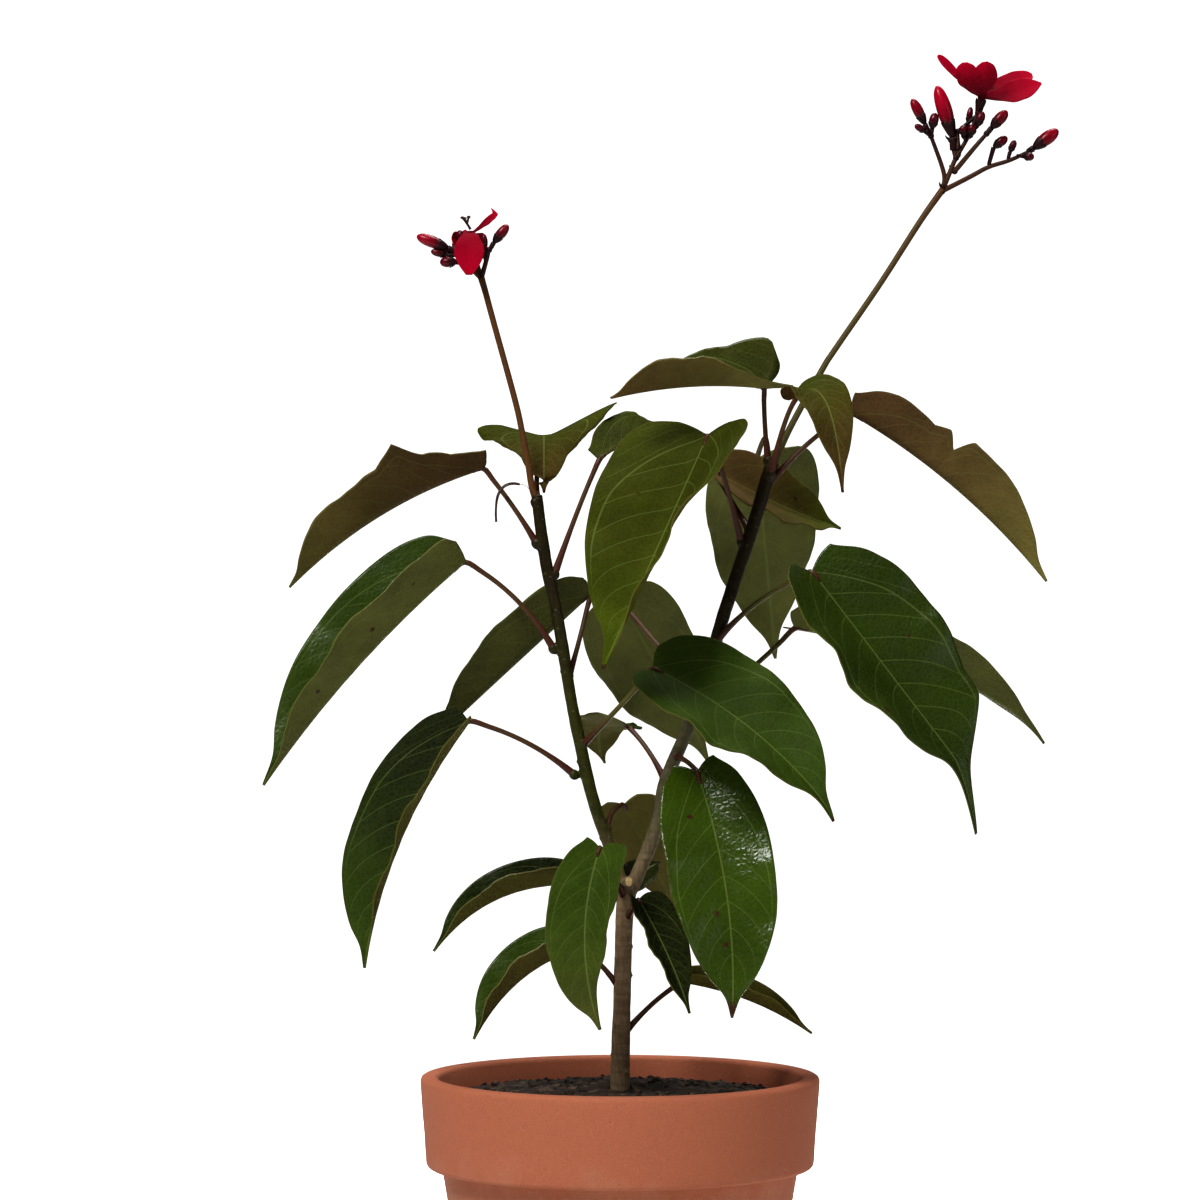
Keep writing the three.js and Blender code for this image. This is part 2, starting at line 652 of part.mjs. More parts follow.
// A blade of even thickness. Both faces are split into the same triangles.
function blade(leaf) {
  const columns = [[-1, 1], [-1, 0.5], [1, 0], [1, 0.5], [1, 1]];
  const rows = leaf.outline.map(([u]) => u);
  for (const { at, spread } of leaf.spikes ?? []) rows.push(Math.max(at - spread, 0), at, at + spread);
  const steps = [...new Set(rows)].sort((a, b) => a - b);
  const upper = [];
  const lower = [];
  for (const u of steps) {
    for (const [side, v] of columns) {
      const { point, normal } = onBlade(leaf, u, v, side);
      upper.push(...point);
      lower.push(...point.addScaledVector(normal, -BLADE.thickness));
    }
  }
  const wide = columns.length;
  const under = steps.length * wide;
  const triangles = [];
  const wall = (a, b) => triangles.push(a, b, a + under, b, b + under, a + under);
  for (let i = 0; i < steps.length - 1; i++) {
    for (let j = 0; j < wide - 1; j++) {
      const a = i * wide + j;
      const [b, c, d] = [a + 1, a + wide, a + wide + 1];
      const halves = j < wide / 2 - 1 ? [a, b, c, b, d, c] : [a, b, d, a, d, c];
      triangles.push(...halves);
      for (let k = 0; k < 6; k += 3) {
        triangles.push(halves[k] + under, halves[k + 2] + under, halves[k + 1] + under);
      }
    }
    wall(i * wide, (i + 1) * wide);
    wall((i + 2) * wide - 1, (i + 1) * wide - 1);
  }
  for (let j = 0; j < wide - 1; j++) {
    wall(j + 1, j);
    wall((steps.length - 1) * wide + j, (steps.length - 1) * wide + j + 1);
  }
  return solidOf([...upper, ...lower], triangles);
}

function join(solids) {
  return solids.reduce((whole, piece) => whole.add(piece));
}

// The largest body of a solid, without the scraps that a cut leaves.
function largest(solid) {
  return solid.decompose().reduce((best, piece) => (piece.volume() > best.volume() ? piece : best));
}

// A named mesh whose own origin lies at a given place of the plant.
function piece(name, solid, finish, origin = new THREE.Vector3()) {
  const { numProp, numVert, vertProperties, triVerts } = solid.getMesh();
  const places = new Float32Array(numVert * 3);
  for (let i = 0; i < numVert; i++) {
    places.set(vertProperties.subarray(i * numProp, i * numProp + 3), i * 3);
  }
  const geometry = new THREE.BufferGeometry()
    .setAttribute("position", new THREE.BufferAttribute(places, 3))
    .setIndex(new THREE.BufferAttribute(triVerts, 1))
    .translate(-origin.x, -origin.y, -origin.z);
  geometry.computeVertexNormals();
  const mesh = new THREE.Mesh(geometry, FINISH[finish]);
  mesh.name = name;
  mesh.position.copy(origin);
  return mesh;
}

// A profile of [radius, height] pairs, turned about the Z axis.
function turned(profile) {
  const points = profile.map(([radius, height]) => new THREE.Vector2(radius, height));
  return new THREE.LatheGeometry(points, TURN_SIDES).rotateX(Math.PI / 2);
}

function insideRadius(height) {
  const rise = (height - POT.floor) / (POT.height - POT.floor);
  return THREE.MathUtils.lerp(POT.floorRadius, POT.mouthRadius, rise);
}

function pot() {
  const { height, edge } = POT;
  const collar = height - POT.collarHeight;
  const shell = solidOfGeometry(
    turned([
      [0, 0],
      [POT.footRadius - edge, 0],
      [POT.footRadius, edge],
      [POT.shoulderRadius, collar - edge],
      [POT.collarRadius - edge, collar - edge],
      [POT.collarRadius, collar],
      [POT.rimRadius, height - edge],
      [POT.rimRadius - edge, height],
      [POT.mouthRadius + edge, height],
      [insideRadius(height - edge), height - edge],
      [insideRadius(POT.floor + edge), POT.floor + edge],
      [POT.floorRadius - edge, POT.floor],
      [0, POT.floor],
    ]),
  );
  const drains = Array.from({ length: POT.drains }, (_, i) => {
    const angle = (2 * Math.PI * (i + 0.5)) / POT.drains;
    const hole = new THREE.CylinderGeometry(POT.drainRadius, POT.drainRadius, 3 * POT.floor, DRAIN_SIDES);
    hole.rotateX(Math.PI / 2);
    hole.translate(POT.drainRing * Math.cos(angle), POT.drainRing * Math.sin(angle), 0);
    return solidOfGeometry(hole);
  });
  return piece("pot", shell.subtract(join(drains)), "terracotta");
}

// Soil heaped a little towards the stem, with a lumpy top and a plain hole for the stem.
function soil() {
  const foot = POT.floor + CLEARANCE;
  const gap = 1.3 * CLEARANCE;
  const edgeRadius = insideRadius(SOIL.edge) - gap;
  const rings = [1, 0.84, 0.66, 0.48, 0.3, 0.14];
  const profile = [[0, foot], [insideRadius(foot) - POT.edge - gap, foot]];
  profile.push([insideRadius(foot + POT.edge) - gap, foot + POT.edge]);
  profile.push(...rings.map((part) => [part * edgeRadius, SOIL.edge]), [0, SOIL.crown]);
  const geometry = turned(profile);
  const places = geometry.attributes.position;
  for (let i = 0; i < places.count; i++) {
    const [x, y, z] = [places.getX(i), places.getY(i), places.getZ(i)];
    if (z < SOIL.edge - 1) continue;
    const part = Math.hypot(x, y) / edgeRadius;
    const lumps = Math.sin(x / 3.1 + 2 * Math.sin(y / 7)) * Math.sin(y / 3.7 + x / 11);
    const top = THREE.MathUtils.lerp(SOIL.crown, SOIL.edge, part * part);
    places.setZ(i, top + SOIL.lumps * lumps * Math.min(part * 3, 1) - (part < 0.1 ? 0.2 : 0));
  }
  const { depth, radius } = TRUNK_HOLE;
  const length = 2 * (depth + CLEARANCE);
  const hole = new THREE.CylinderGeometry(radius, radius, length, 20).rotateX(Math.PI / 2);
  hole.translate(0, 0, SOIL.crown);
  return piece("soil", solidOfGeometry(geometry).subtract(solidOfGeometry(hole)), "soil");
}

// The stem's tubes, thicker by a margin where they are used to cut their neighbours clear.
function stem(margin) {
  return join(
    STEM.map(({ path, radii }) =>
      tube(path.map(seen), radii.map((radius) => radius + margin), STEM_SIDES, 2 * (path.length - 1)),
    ),
  );
}

const stemClearance = stem(CLEARANCE);

function leaf(shape) {
  const [node, half, base] = shape.stalk.map(seen);
  const tip = seen(shape.tip);
  const chord = base.clone().add(tip).multiplyScalar(0.5);
  const control = chord.add(new THREE.Vector3(...shape.arch));
  const grown = {
    ...shape,
    outline: LEAF_OUTLINE,
    wave: BLADE.wave * (shape.left.width + shape.right.width),
    midrib: new THREE.QuadraticBezierCurve3(base, control, tip),
    faces: new THREE.Vector3(...shape.faces).normalize(),
    lobe: (shape.lobe ?? BLADE.lobe) * base.distanceTo(tip),
  };
  const start = grown.midrib.getPoint(0.04);
  const seat = onBlade(grown, 0, 0, 1).normal.multiplyScalar(-BLADE.thickness / 2);
  const bow = half.clone().multiplyScalar(2).sub(node.clone().add(base).multiplyScalar(0.5));
  const route = new THREE.QuadraticBezierCurve3(node, bow, base.clone().add(seat));
  const points = [...route.getPoints(4), start.add(seat)];
  const size = Math.min(1, (shape.left.width + shape.right.width) / 12);
  const radii = [STALK.foot, STALK.middle, STALK.middle, STALK.middle, STALK.top, STALK.top];
  const stalk = tube(points, radii.map((radius) => radius * size), STALK.sides, STALK.steps);
  const whole = stalk.subtract(stemClearance).add(blade(grown));
  return piece(shape.name, largest(whole), shape.finish, node);
}

// A flower stalk with its twigs, buds and calyx, all grown together.
function flowerStalk(cyme) {
  const thin = (points, thick, fine) => {
    const radii = points.map((_, i) => THREE.MathUtils.lerp(thick, fine, i / (points.length - 1)));
    return tube(points, radii, 5, points.length);
  };
  const main = tube(cyme.stalk.map(seen), [SHOOT.stalk], 6, 2 * cyme.stalk.length);
  const twigs = cyme.twigs.map((twig) => thin(twig.map(seen), SHOOT.twig, SHOOT.twigEnd));
  const buds = cyme.buds.map(({ from, base, tip, radius }) => {
    const [start, foot, end] = [from, base, tip].map(seen);
    const points = [start, foot];
    const radii = [SHOOT.pedicel, SHOOT.pedicel];
    for (const [at, part] of BUD) {
      points.push(foot.clone().lerp(end, at));
      radii.push(part * radius);
    }
    return tube(points, radii, 5, points.length - 1);
  });
  const calyx = spindle(seen(cyme.calyx.base), seen(cyme.calyx.tip), cyme.calyx.radius, 6);
  const whole = join([main, ...twigs, ...buds, calyx]).subtract(stemClearance);
  return piece(cyme.name, largest(whole), "stalk", seen(cyme.stalk[0]));
}

function stamens(cyme, margin) {
  const arms = cyme.stamens.map((arm) => {
    const points = arm.map(seen);
    const end = points.at(-1);
    const reach = cyme.anther + margin;
    const lift = new THREE.Vector3(0, 0, reach);
    const anther = spindle(end.clone().sub(lift), end.clone().add(lift), reach, 4);
    return tube(points, [FLOWER.filament + margin], 4, points.length).add(anther);
  });
  return join(arms);
}

// An open flower: free petals that meet in a short throat above the calyx.
function corolla(cyme, name) {
  const [foot, mouth] = cyme.throat.map(seen);
  const petals = cyme.petals.map(({ tip, arch, faces, width, fold, skew }) => {
    const end = seen(tip);
    const out = end.clone().sub(mouth).setLength(FLOWER.claw);
    const start = foot.clone().lerp(mouth, 0.5).add(out);
    const control = start.clone().add(end).multiplyScalar(0.5).add(new THREE.Vector3(...arch));
    const half = { width: width / 2, fold: [fold], skew };
    return blade({
      wave: FLOWER.wave * width,
      outline: PETAL_OUTLINE,
      midrib: new THREE.QuadraticBezierCurve3(start, control, end),
      faces: new THREE.Vector3(...faces).normalize(),
      left: half,
      right: half,
      lobe: 0,
    });
  });
  const throat = tube([foot, mouth], [FLOWER.throatFoot, FLOWER.throatMouth], 8, 2);
  const whole = join([throat, ...petals]).subtract(stamens(cyme, CLEARANCE));
  return piece(name, largest(whole), "petal", foot);
}

const peregrina = new THREE.Group();
const plant = new THREE.Group();
plant.add(piece("woody_stem", stem(0), "bark"));
for (const shape of LEAVES) plant.add(leaf(shape));
for (const cyme of CYMES) {
  const side = cyme.name.split("_").at(-1);
  plant.add(flowerStalk(cyme));
  plant.add(corolla(cyme, "corolla_" + side));
  plant.add(piece("stamens_" + side, stamens(cyme, 0), "stamen", seen(cyme.throat[1])));
}
peregrina.add(pot(), soil(), plant);

export default peregrina;
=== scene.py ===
"""A potted peregrina, Jatropha integerrima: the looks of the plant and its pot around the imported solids."""

import math
import random

import bpy
import numpy as np
from mathutils import Matrix, Vector, noise


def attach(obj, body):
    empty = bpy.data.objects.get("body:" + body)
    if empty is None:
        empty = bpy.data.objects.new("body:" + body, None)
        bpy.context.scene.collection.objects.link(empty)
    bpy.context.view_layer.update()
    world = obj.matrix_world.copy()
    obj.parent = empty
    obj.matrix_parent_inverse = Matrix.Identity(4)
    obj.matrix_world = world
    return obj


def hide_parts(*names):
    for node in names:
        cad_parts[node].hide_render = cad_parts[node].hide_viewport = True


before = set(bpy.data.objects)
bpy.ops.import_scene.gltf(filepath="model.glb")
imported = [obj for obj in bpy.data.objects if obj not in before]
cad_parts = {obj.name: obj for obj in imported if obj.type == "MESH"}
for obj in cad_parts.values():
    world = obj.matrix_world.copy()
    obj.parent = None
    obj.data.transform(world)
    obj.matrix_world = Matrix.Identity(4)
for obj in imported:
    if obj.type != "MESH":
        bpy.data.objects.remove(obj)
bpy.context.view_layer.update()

bl_info = {
    "name": "Potted peregrina",
    "version": (1, 0, 0),
    "blender": (4, 5, 0),
    "location": "3D View > Sidebar > Peregrina",
    "description": "Builds a young peregrina in flower, in its pot, around the packed solids",
    "category": "Add Mesh",
}

MM = 0.001

# Driving sizes, in millimetres, the same as in the solids
POT = {
    "height": 110,
    "rim_radius": 60,
    "collar_height": 27,
    "collar_radius": 58,
    "shoulder_radius": 53.5,
    "foot_radius": 39,
    "mouth_radius": 54.5,
    "floor_radius": 34,
    "floor": 8,
    "edge": 1.5,
    "drain_radius": 4,
    "drain_ring": 19,
    "drains": 4,
    "turns": 128,
}
SOIL = {"crown": 107, "edge": 103.5, "gap": 0.42, "hole": 3.3, "rows": 40, "turns": 150, "crumbs": 620}
TRUNK_HOLE = 50
EYE = Vector((-6, -1300, 252.5))
VIEW_WIDTH = 360  # of the photograph, where it cuts the stem's own plane
SENSOR = 36
BLADE = {"thickness": 0.4, "lobe": 0.03, "lobe_end": 0.16, "crease": 0.2, "tip": 0.3, "wave": 0.03}
# The margin's waves and ripples, in half turns over the length, and the ripples' height
MARGIN = {"waves": 6.5, "ripples": 23, "ripple": 0.14}
RIB = {"half_width": 0.55, "taper": 0.7}
LATE = 1.6
PETIOLE = {"foot": 1.25, "middle": 0.75, "top": 0.9}
SHOOT = {"stalk": 0.95, "twig": 0.8, "twig_end": 0.6, "pedicel": 0.6}
FLOWER = {"filament": 0.4, "throat": [0.7, 1, 1.15, 1.3], "wave": 0.02, "relief": 0.06, "claw": 0.5}
PETAL_THICKNESS = 0.28
FLOOR = {"radius": 1000, "turns": 96, "gap": 0.3}
BARK = {"voxel": 0.42, "cushion": 1.55, "scar": [1.25, 1.25, 0.9]}
# Heights above the soil where old leaves left a scar on the trunk and the branches
SCARS = [4, 9, 13, 18.5, 21, 27, 30, 33, 38, 41.5, 46, 68, 74, 86, 97, 110, 124, 131, 142, 150]
STUB = {"radius": 1.4, "turns": 28, "rings": 6, "edge": 0.45}
# Width of a face of a blade's mesh, and the least and most rows and columns that half a blade may have
BLADE_GRAIN, PETAL_GRAIN = 0.65, 0.28
BLADE_ROWS, HALF_COLUMNS = (24, 150), (6, 26)
# How much stouter a flower stalk is at even steps from its foot, where it grew out of the stem
STALK_SWELL = [1.25, 1.05, 1, 0.97, 0.95, 0.98, 1.1]
# A calyx: how deep its lobes are cut, and its wall as [share of the height, distance from the bud]
CALYX = {
    "turns": 30,
    "lobes": 0.26,
    "wall": [
        [0, 0.1], [0.2, 0.16], [0.4, 0.18], [0.6, 0.18], [0.8, 0.18], [1, 0.14], [1, -0.1], [0.5, -0.1],
    ],
}

# How the veins run, in parts of a blade: how far the side veins sweep forward and curve on the way to the
# edge, their spacing, the same for the veins outside the basal pair, and how that pair spreads
VEINS = {
    "sweep": 0.13,
    "curve": 0.1,
    "spacing": 0.105,
    "outer_sweep": 0.42,
    "outer_spacing": 0.11,
    "basal_reach": 0.93,
    "basal_rise": 0.17,
}
# Where each soft light stands and how wide it is, in metres
LAMPS = {
    "key": {"place": (-0.55, -0.85, 1.3), "size": 0.45},
    "overhead": {"place": (0.15, 0.3, 1.35), "size": 0.5},
    "fill": {"place": (1.2, -0.8, 0.5), "size": 1},
    "paper_light": {"place": (0, 0.85, 0.9), "size": 0.9},
}

# Half width of a leaf blade from stalk to tip: heart-shaped base, ovate blade, drawn-out drip tip
LEAF_OUTLINE = [
    [0, 0.4], [0.03, 0.66], [0.08, 0.83], [0.16, 0.95], [0.32, 1], [0.45, 0.97], [0.6, 0.85], [0.72, 0.66],
    [0.82, 0.42], [0.9, 0.16], [1, 0.015],
]
PETAL_OUTLINE = [[0, 0.2], [0.2, 0.48], [0.45, 0.92], [0.62, 1], [0.8, 0.88], [0.93, 0.6], [1, 0.2]]
DROOPING_PETAL = [
    [0, 0.2], [0.3, 0.42], [0.5, 0.7], [0.62, 0.92], [0.72, 1], [0.82, 0.9], [0.92, 0.6], [1, 0.2],
]
POINTED_PETAL = [[0, 0.2], [0.2, 0.45], [0.4, 0.8], [0.58, 1], [0.75, 0.88], [0.9, 0.5], [1, 0.06]]
BUD = [[0, 0.28], [0.15, 0.6], [0.35, 0.9], [0.55, 1], [0.75, 0.9], [0.92, 0.6], [1, 0.22]]

STEM = [
    {
        "path": [[0, -TRUNK_HOLE, 0], [0, -20, 0], [0, 0, 0], [0.6, 25.5, 0], [1.2, 46.5, 0], [2.1, 58.5, 0]],
        "radii": [2.9, 3, 3, 2.65, 2.6, 2.9],
    },
    {
        "path": [
            [2, 56, 0],
            [7.4, 67.9, 0],
            [11.7, 80.2, 0],
            [13.7, 91.1, 0],
            [20.2, 106.5, 0],
            [25.2, 121.5, 0],
            [32.5, 145.5, 0],
            [39.5, 166.5, 0],
            [44.5, 183, 0],
            [46, 187, 0],
        ],
        "radii": [2.2, 2.2, 2, 2.1, 1.95, 2, 1.95, 2, 2.1, 1.9],
    },
    {
        "path": [
            [2.1, 56, 0],
            [-3.9, 73.5, 0],
            [-7.2, 82.4, 0],
            [-10.2, 94.4, 0],
            [-14.7, 116, 0],
            [-18.6, 139.8, 0],
            [-21.8, 154.5, 0],
            [-23.7, 166.5, 0],
            [-24.9, 177, 0],
        ],
        "radii": [2, 1.9, 1.85, 1.9, 1.8, 1.8, 1.85, 1.8, 1.7],
    },
    # The stump of a third branch, cut off short and turned to the viewer.
    {"path": [[2.1, 58.5, 0], [2.4, 60.6, -4], [2.7, 60.9, -9]], "radii": [1.9, 1.75, 1.7]},
]

LEAVES = [
    {
        "name": "leaf_left_high", "finish": "young",
        "stalk": [[-24.6, 161.7, 0], [-32.4, 174, 0], [-41.1, 185.4, 0]], "tip": [-99.3, 149.4, -6],
        "arch": [-4, 0, 7.5], "faces": [-0.5, 0.05, 0.85],
        "left": {"width": 16.5, "fold": [45], "skew": 1.6}, "right": {"width": 15, "fold": [35]},
        "spikes": [
            {"side": -1, "at": 0.33, "reach": 8, "spread": 0.1},
            {"side": -1, "at": 0.12, "reach": -2, "spread": 0.08},
        ],
    },
    {
        "name": "leaf_left_large", "finish": "mature",
        "stalk": [[-19.5, 130.2, 0], [-31.5, 146, -1], [-46.8, 157.2, -2]], "tip": [-107.1, 90, -10],
        "arch": [-4.4, 0, 4], "faces": [-0.64, -0.41, 0.64], "left": {"width": 19, "fold": [62]},
        "right": {"width": 19, "fold": [62]},
        "spikes": [{"side": -1, "at": 0.02, "reach": 5, "spread": 0.1}], "lobe": 0.015,
    },
    {
        "name": "leaf_left_low", "finish": "mature",
        "stalk": [[-13.2, 92.7, 0], [-28.5, 103, -2], [-45.6, 109.4, -4]], "tip": [-76.8, 35.1, -12],
        "arch": [-10, 0, 4], "faces": [-0.75, -0.57, 0.32], "left": {"width": 14.8, "fold": [43]},
        "right": {"width": 16, "fold": [43], "skew": 1.3}, "lobe": 0.015,
    },
    {
        "name": "leaf_left_crown", "finish": "young",
        "stalk": [[-24.3, 174, 0], [-24.9, 183, 8.5], [-22.8, 195, 20]], "tip": [-22.8, 177.6, 4],
        "arch": [0, -4, 9.5], "faces": [0, 0.3, 1],
        "left": {"width": 7.5, "fold": [28, 26, 14, 5, 5], "skew": 1.4},
        "right": {"width": 8.5, "fold": [15, -3, 4, 12, 15], "skew": 1.2},
        "spikes": [
            {"side": 1, "at": 0.12, "reach": 13.5, "spread": 0.55},
            {"side": -1, "at": 0.1, "reach": 19.5, "spread": 0.52},
        ],
    },
    {
        "name": "leaf_left_sickle", "finish": "young",
        "stalk": [[-25, 174, 0], [-27.6, 179.4, -2.6], [-30.4, 180.3, -3]], "tip": [-37.2, 168.9, -4],
        "arch": [-4.4, 0, 7], "faces": [-0.6, -0.3, 0.7], "left": {"width": 0.6, "fold": [45]},
        "right": {"width": 0.6, "fold": [45]},
    },
    {
        "name": "leaf_center_back", "finish": "mature",
        "stalk": [[-20, 152.3, 0], [-12.3, 173.4, 1], [-6.3, 188, 2]], "tip": [24, 183, 36],
        "arch": [2, -3, 16.5], "faces": [0, -0.1, 1], "left": {"width": 11.5, "fold": [48], "skew": 1.5},
        "right": {"width": 12, "fold": [30]}, "lobe": 0,
    },
    {
        "name": "leaf_center_front", "finish": "young",
        "stalk": [[36.6, 162, 0], [31.2, 182.1, -6], [26.4, 195.3, -10]], "tip": [-5.1, 125.1, -62],
        "arch": [0, -12, 0], "faces": [-0.6, -0.7, 0.4],
        "left": {"width": 17.5, "fold": [2, 42, 58], "skew": 0.66},
        "right": {"width": 25, "fold": [38], "skew": 0.82},
        "spikes": [{"side": -1, "at": 0.16, "reach": 2.5, "spread": 0.13}],
    },
    {
        "name": "leaf_right_crown_left", "finish": "young",
        "stalk": [[44.4, 186.5, 0], [43.5, 198, -1], [43.2, 209.6, -3]], "tip": [-2.7, 206.3, -26],
        "arch": [0, 0, 4], "faces": [0, -0.25, 1], "left": {"width": 12.5, "fold": [25, 60, 75], "skew": 2},
        "right": {"width": 14.5, "fold": [55], "skew": 0.45},
        "spikes": [{"side": 1, "at": 0.02, "reach": 4, "spread": 0.15}], "lobe": 0.14,
    },
    {
        "name": "leaf_right_crown_front", "finish": "young",
        "stalk": [[45.2, 182.5, -1.4], [49.2, 198.2, -4.4], [53, 206.8, -6]], "tip": [66.9, 177.9, -30],
        "arch": [4, 0, 24], "faces": [0.3, -0.6, 0.7], "lobe": 0, "left": {"width": 8, "fold": [30]},
        "right": {"width": 10.8, "fold": [12]},
    },
    {
        "name": "leaf_right_high", "finish": "young",
        "stalk": [[43.5, 179, 0], [57.6, 193.5, 2], [69.9, 201.6, 4]], "tip": [128.1, 151.2, -6],
        "arch": [4.5, 0, 5.5], "faces": [0.65, 0.05, 0.76],
        "left": {"width": 14.3, "fold": [70], "skew": 1.2},
        "right": {"width": 16, "fold": [65], "skew": 1.2},
        "spikes": [
            {"side": -1, "at": 0.29, "reach": -4, "spread": 0.17},
            {"side": -1, "at": 0.4, "reach": -6, "spread": 0.05},
            {"side": 1, "at": 0.29, "reach": -4, "spread": 0.17},
            {"side": 1, "at": 0.4, "reach": -6, "spread": 0.05},
        ],
    },
    {
        "name": "leaf_right_mid_back", "finish": "mature",
        "stalk": [[39, 165.9, 0], [33, 176.1, 10], [28.8, 184, 14]], "tip": [66.3, 167.1, 27],
        "arch": [1, 0, -3], "faces": [0.2, -0.7, 0.6], "left": {"width": 12, "fold": [25]},
        "right": {"width": 14, "fold": [32]},
    },
    {
        "name": "leaf_right_back", "finish": "mature",
        "stalk": [[44.3, 184, 0], [43.7, 194, 16], [41.1, 188, 37]], "tip": [46.6, 128, 64],
        "arch": [0, 6, 3], "faces": [0, 0.8, 0.5], "left": {"width": 17.7, "fold": [15]},
        "right": {"width": 18.7, "fold": [15], "skew": 0.65},
    },
    {
        "name": "leaf_right_large", "finish": "mature",
        "stalk": [[28.5, 132.6, 0], [41.4, 144.9, -8], [57.6, 154.2, -14]], "tip": [107, 89.7, -32],
        "arch": [0, 0, 0], "faces": [0.5, -0.75, 0.4],
        "left": {"width": 24, "fold": [36, 20, 8], "skew": 1.15}, "right": {"width": 25.5, "fold": [27]},
        "spikes": [
            {"side": 1, "at": 0.6, "reach": 4.5, "spread": 0.28},
            {"side": -1, "at": 0.72, "reach": 2, "spread": 0.12},
        ],
        "lobe": 0.045, "hang": 14,
    },
    {
        "name": "leaf_right_behind", "finish": "mature",
        "stalk": [[20, 108.9, 0], [37.5, 123.3, 3], [52.5, 137.4, 6]], "tip": [127.3, 105.6, 20],
        "arch": [3, 0, 11], "faces": [0.2, 0.5, 0.8], "left": {"width": 13.5, "fold": [30]},
        "right": {"width": 13.5, "fold": [30]}, "hang": 3,
    },
    {
        "name": "leaf_center_low", "finish": "mature",
        "stalk": [[-11.5, 101.7, 0], [-0.6, 113.1, -12], [9.9, 125.1, -24]], "tip": [64.2, 81.3, -44],
        "arch": [5.3, 0, 6.5], "faces": [0.4, -0.75, 0.5], "left": {"width": 18, "fold": [25]},
        "right": {"width": 21.5, "fold": [27], "skew": 0.85},
        "spikes": [{"side": 1, "at": 0.45, "reach": 4, "spread": 0.29}], "hang": 2,
    },
    {
        "name": "leaf_center_behind", "finish": "mature",
        "stalk": [[23.5, 117.3, 0], [12.3, 130.8, 16], [0, 145.5, 30]], "tip": [26.5, 98.9, 60],
        "arch": [0, 0, 0], "faces": [-0.2, 0.8, 0.5], "left": {"width": 18.2, "fold": [15]},
        "right": {"width": 15, "fold": [15], "skew": 0.85}, "hang": 2,
    },
    {
        "name": "leaf_left_behind", "finish": "mature",
        "stalk": [[-15.5, 122, 0], [-12.3, 133.5, 8], [-9.2, 147.5, 13]], "tip": [-55.3, 104.5, 14],
        "arch": [-3, 0, -2.5], "faces": [-0.7, 0.1, 0.7], "left": {"width": 14.2, "fold": [60]},
        "right": {"width": 14.2, "fold": [55], "skew": 1.4},
        "spikes": [{"side": 1, "at": 0.16, "reach": 4, "spread": 0.16}],
    },
    {
        "name": "leaf_center_small", "finish": "young",
        "stalk": [[13.6, 91.1, 0], [8.4, 100.5, 8], [2.8, 107.6, 14]], "tip": [-4.5, 96.8, 42],
        "arch": [-10, 0, 10], "faces": [0, 0.36, 0.9], "left": {"width": 9.3, "fold": [10]},
        "right": {"width": 9.3, "fold": [10]},
    },
    {
        "name": "leaf_front_low", "finish": "mature",
        "stalk": [[16.8, 98.6, 0], [20.4, 96.8, -14], [23.1, 94, -26]], "tip": [33.6, 20.1, -42],
        "arch": [7, -8, 0], "faces": [0, -0.92, 0.38], "left": {"width": 15.4, "fold": [12], "skew": 1.12},
        "right": {"width": 16.5, "fold": [12], "skew": 1.12}, "lobe": 0.045,
    },
    {
        "name": "leaf_front_left", "finish": "mature",
        "stalk": [[1.5, 55.6, 0], [-3.6, 66.4, -14], [-6, 71.2, -22]], "tip": [-6, 16.5, -34],
        "arch": [-9, -6, 0], "faces": [0.1, -0.95, 0.3],
        "left": {"width": 11.4, "fold": [50], "skew": 0.55},
        "right": {"width": 11.8, "fold": [10], "skew": 1.25},
    },
    {
        "name": "leaf_low_left", "finish": "mature",
        "stalk": [[0.6, 28, 0], [-6.9, 37.2, -2], [-13.2, 41.1, -4]], "tip": [-44, 13.8, -10],
        "arch": [-5, 0, 7], "faces": [-0.6, -0.42, 0.67], "left": {"width": 11, "fold": [62], "skew": 0.85},
        "right": {"width": 10.5, "fold": [60]},
    },
    {
        "name": "leaf_mid_left", "finish": "mature",
        "stalk": [[1.2, 54.5, 0], [-6, 60, -1], [-12, 60.5, -3]], "tip": [-56, 40.2, -10],
        "arch": [-6, 0, 11.5], "faces": [-0.38, -0.42, 0.8],
        "left": {"width": 10.3, "fold": [64], "skew": 0.85}, "right": {"width": 8.7, "fold": [62]},
    },
    {
        "name": "leaf_front_right_small", "finish": "mature",
        "stalk": [[1.8, 49.3, 0], [4.6, 54.4, -8], [5.6, 55.6, -13]], "tip": [21, 21.6, -32],
        "arch": [2, -3, 1], "faces": [0.3, -0.85, 0.4], "left": {"width": 8.5, "fold": [15], "skew": 0.7},
        "right": {"width": 10, "fold": [50], "skew": 1.3},
    },
    {
        "name": "leaf_low_right", "finish": "mature",
        "stalk": [[0.5, 14.5, 0], [9.6, 24.3, 1], [18.6, 31.2, 2]], "tip": [57.6, 15.6, 4],
        "arch": [2, 0, 4.5], "faces": [0.34, -0.42, 0.83], "left": {"width": 6.6, "fold": [66]},
        "right": {"width": 7, "fold": [66]},
    },
    {
        "name": "leaf_fork_behind", "finish": "young",
        "stalk": [[-3.9, 75.9, 0], [-2.4, 81.6, 8], [1.2, 84.4, 14]], "tip": [16.5, 53.5, 42],
        "arch": [0, 0, 0], "faces": [0, 0.75, 0.6], "left": {"width": 12.5, "fold": [15]},
        "right": {"width": 12.5, "fold": [15]},
    },
    {
        "name": "leaf_fork_small", "finish": "mature",
        "stalk": [[2.2, 56.5, 0], [1.6, 58, 5], [1.2, 58.5, 8]], "tip": [12, 66.9, 16], "arch": [0, 0, 2],
        "faces": [-0.2, -0.8, 0.5], "left": {"width": 5.5, "fold": [20]},
        "right": {"width": 5.5, "fold": [20]},
    },
]

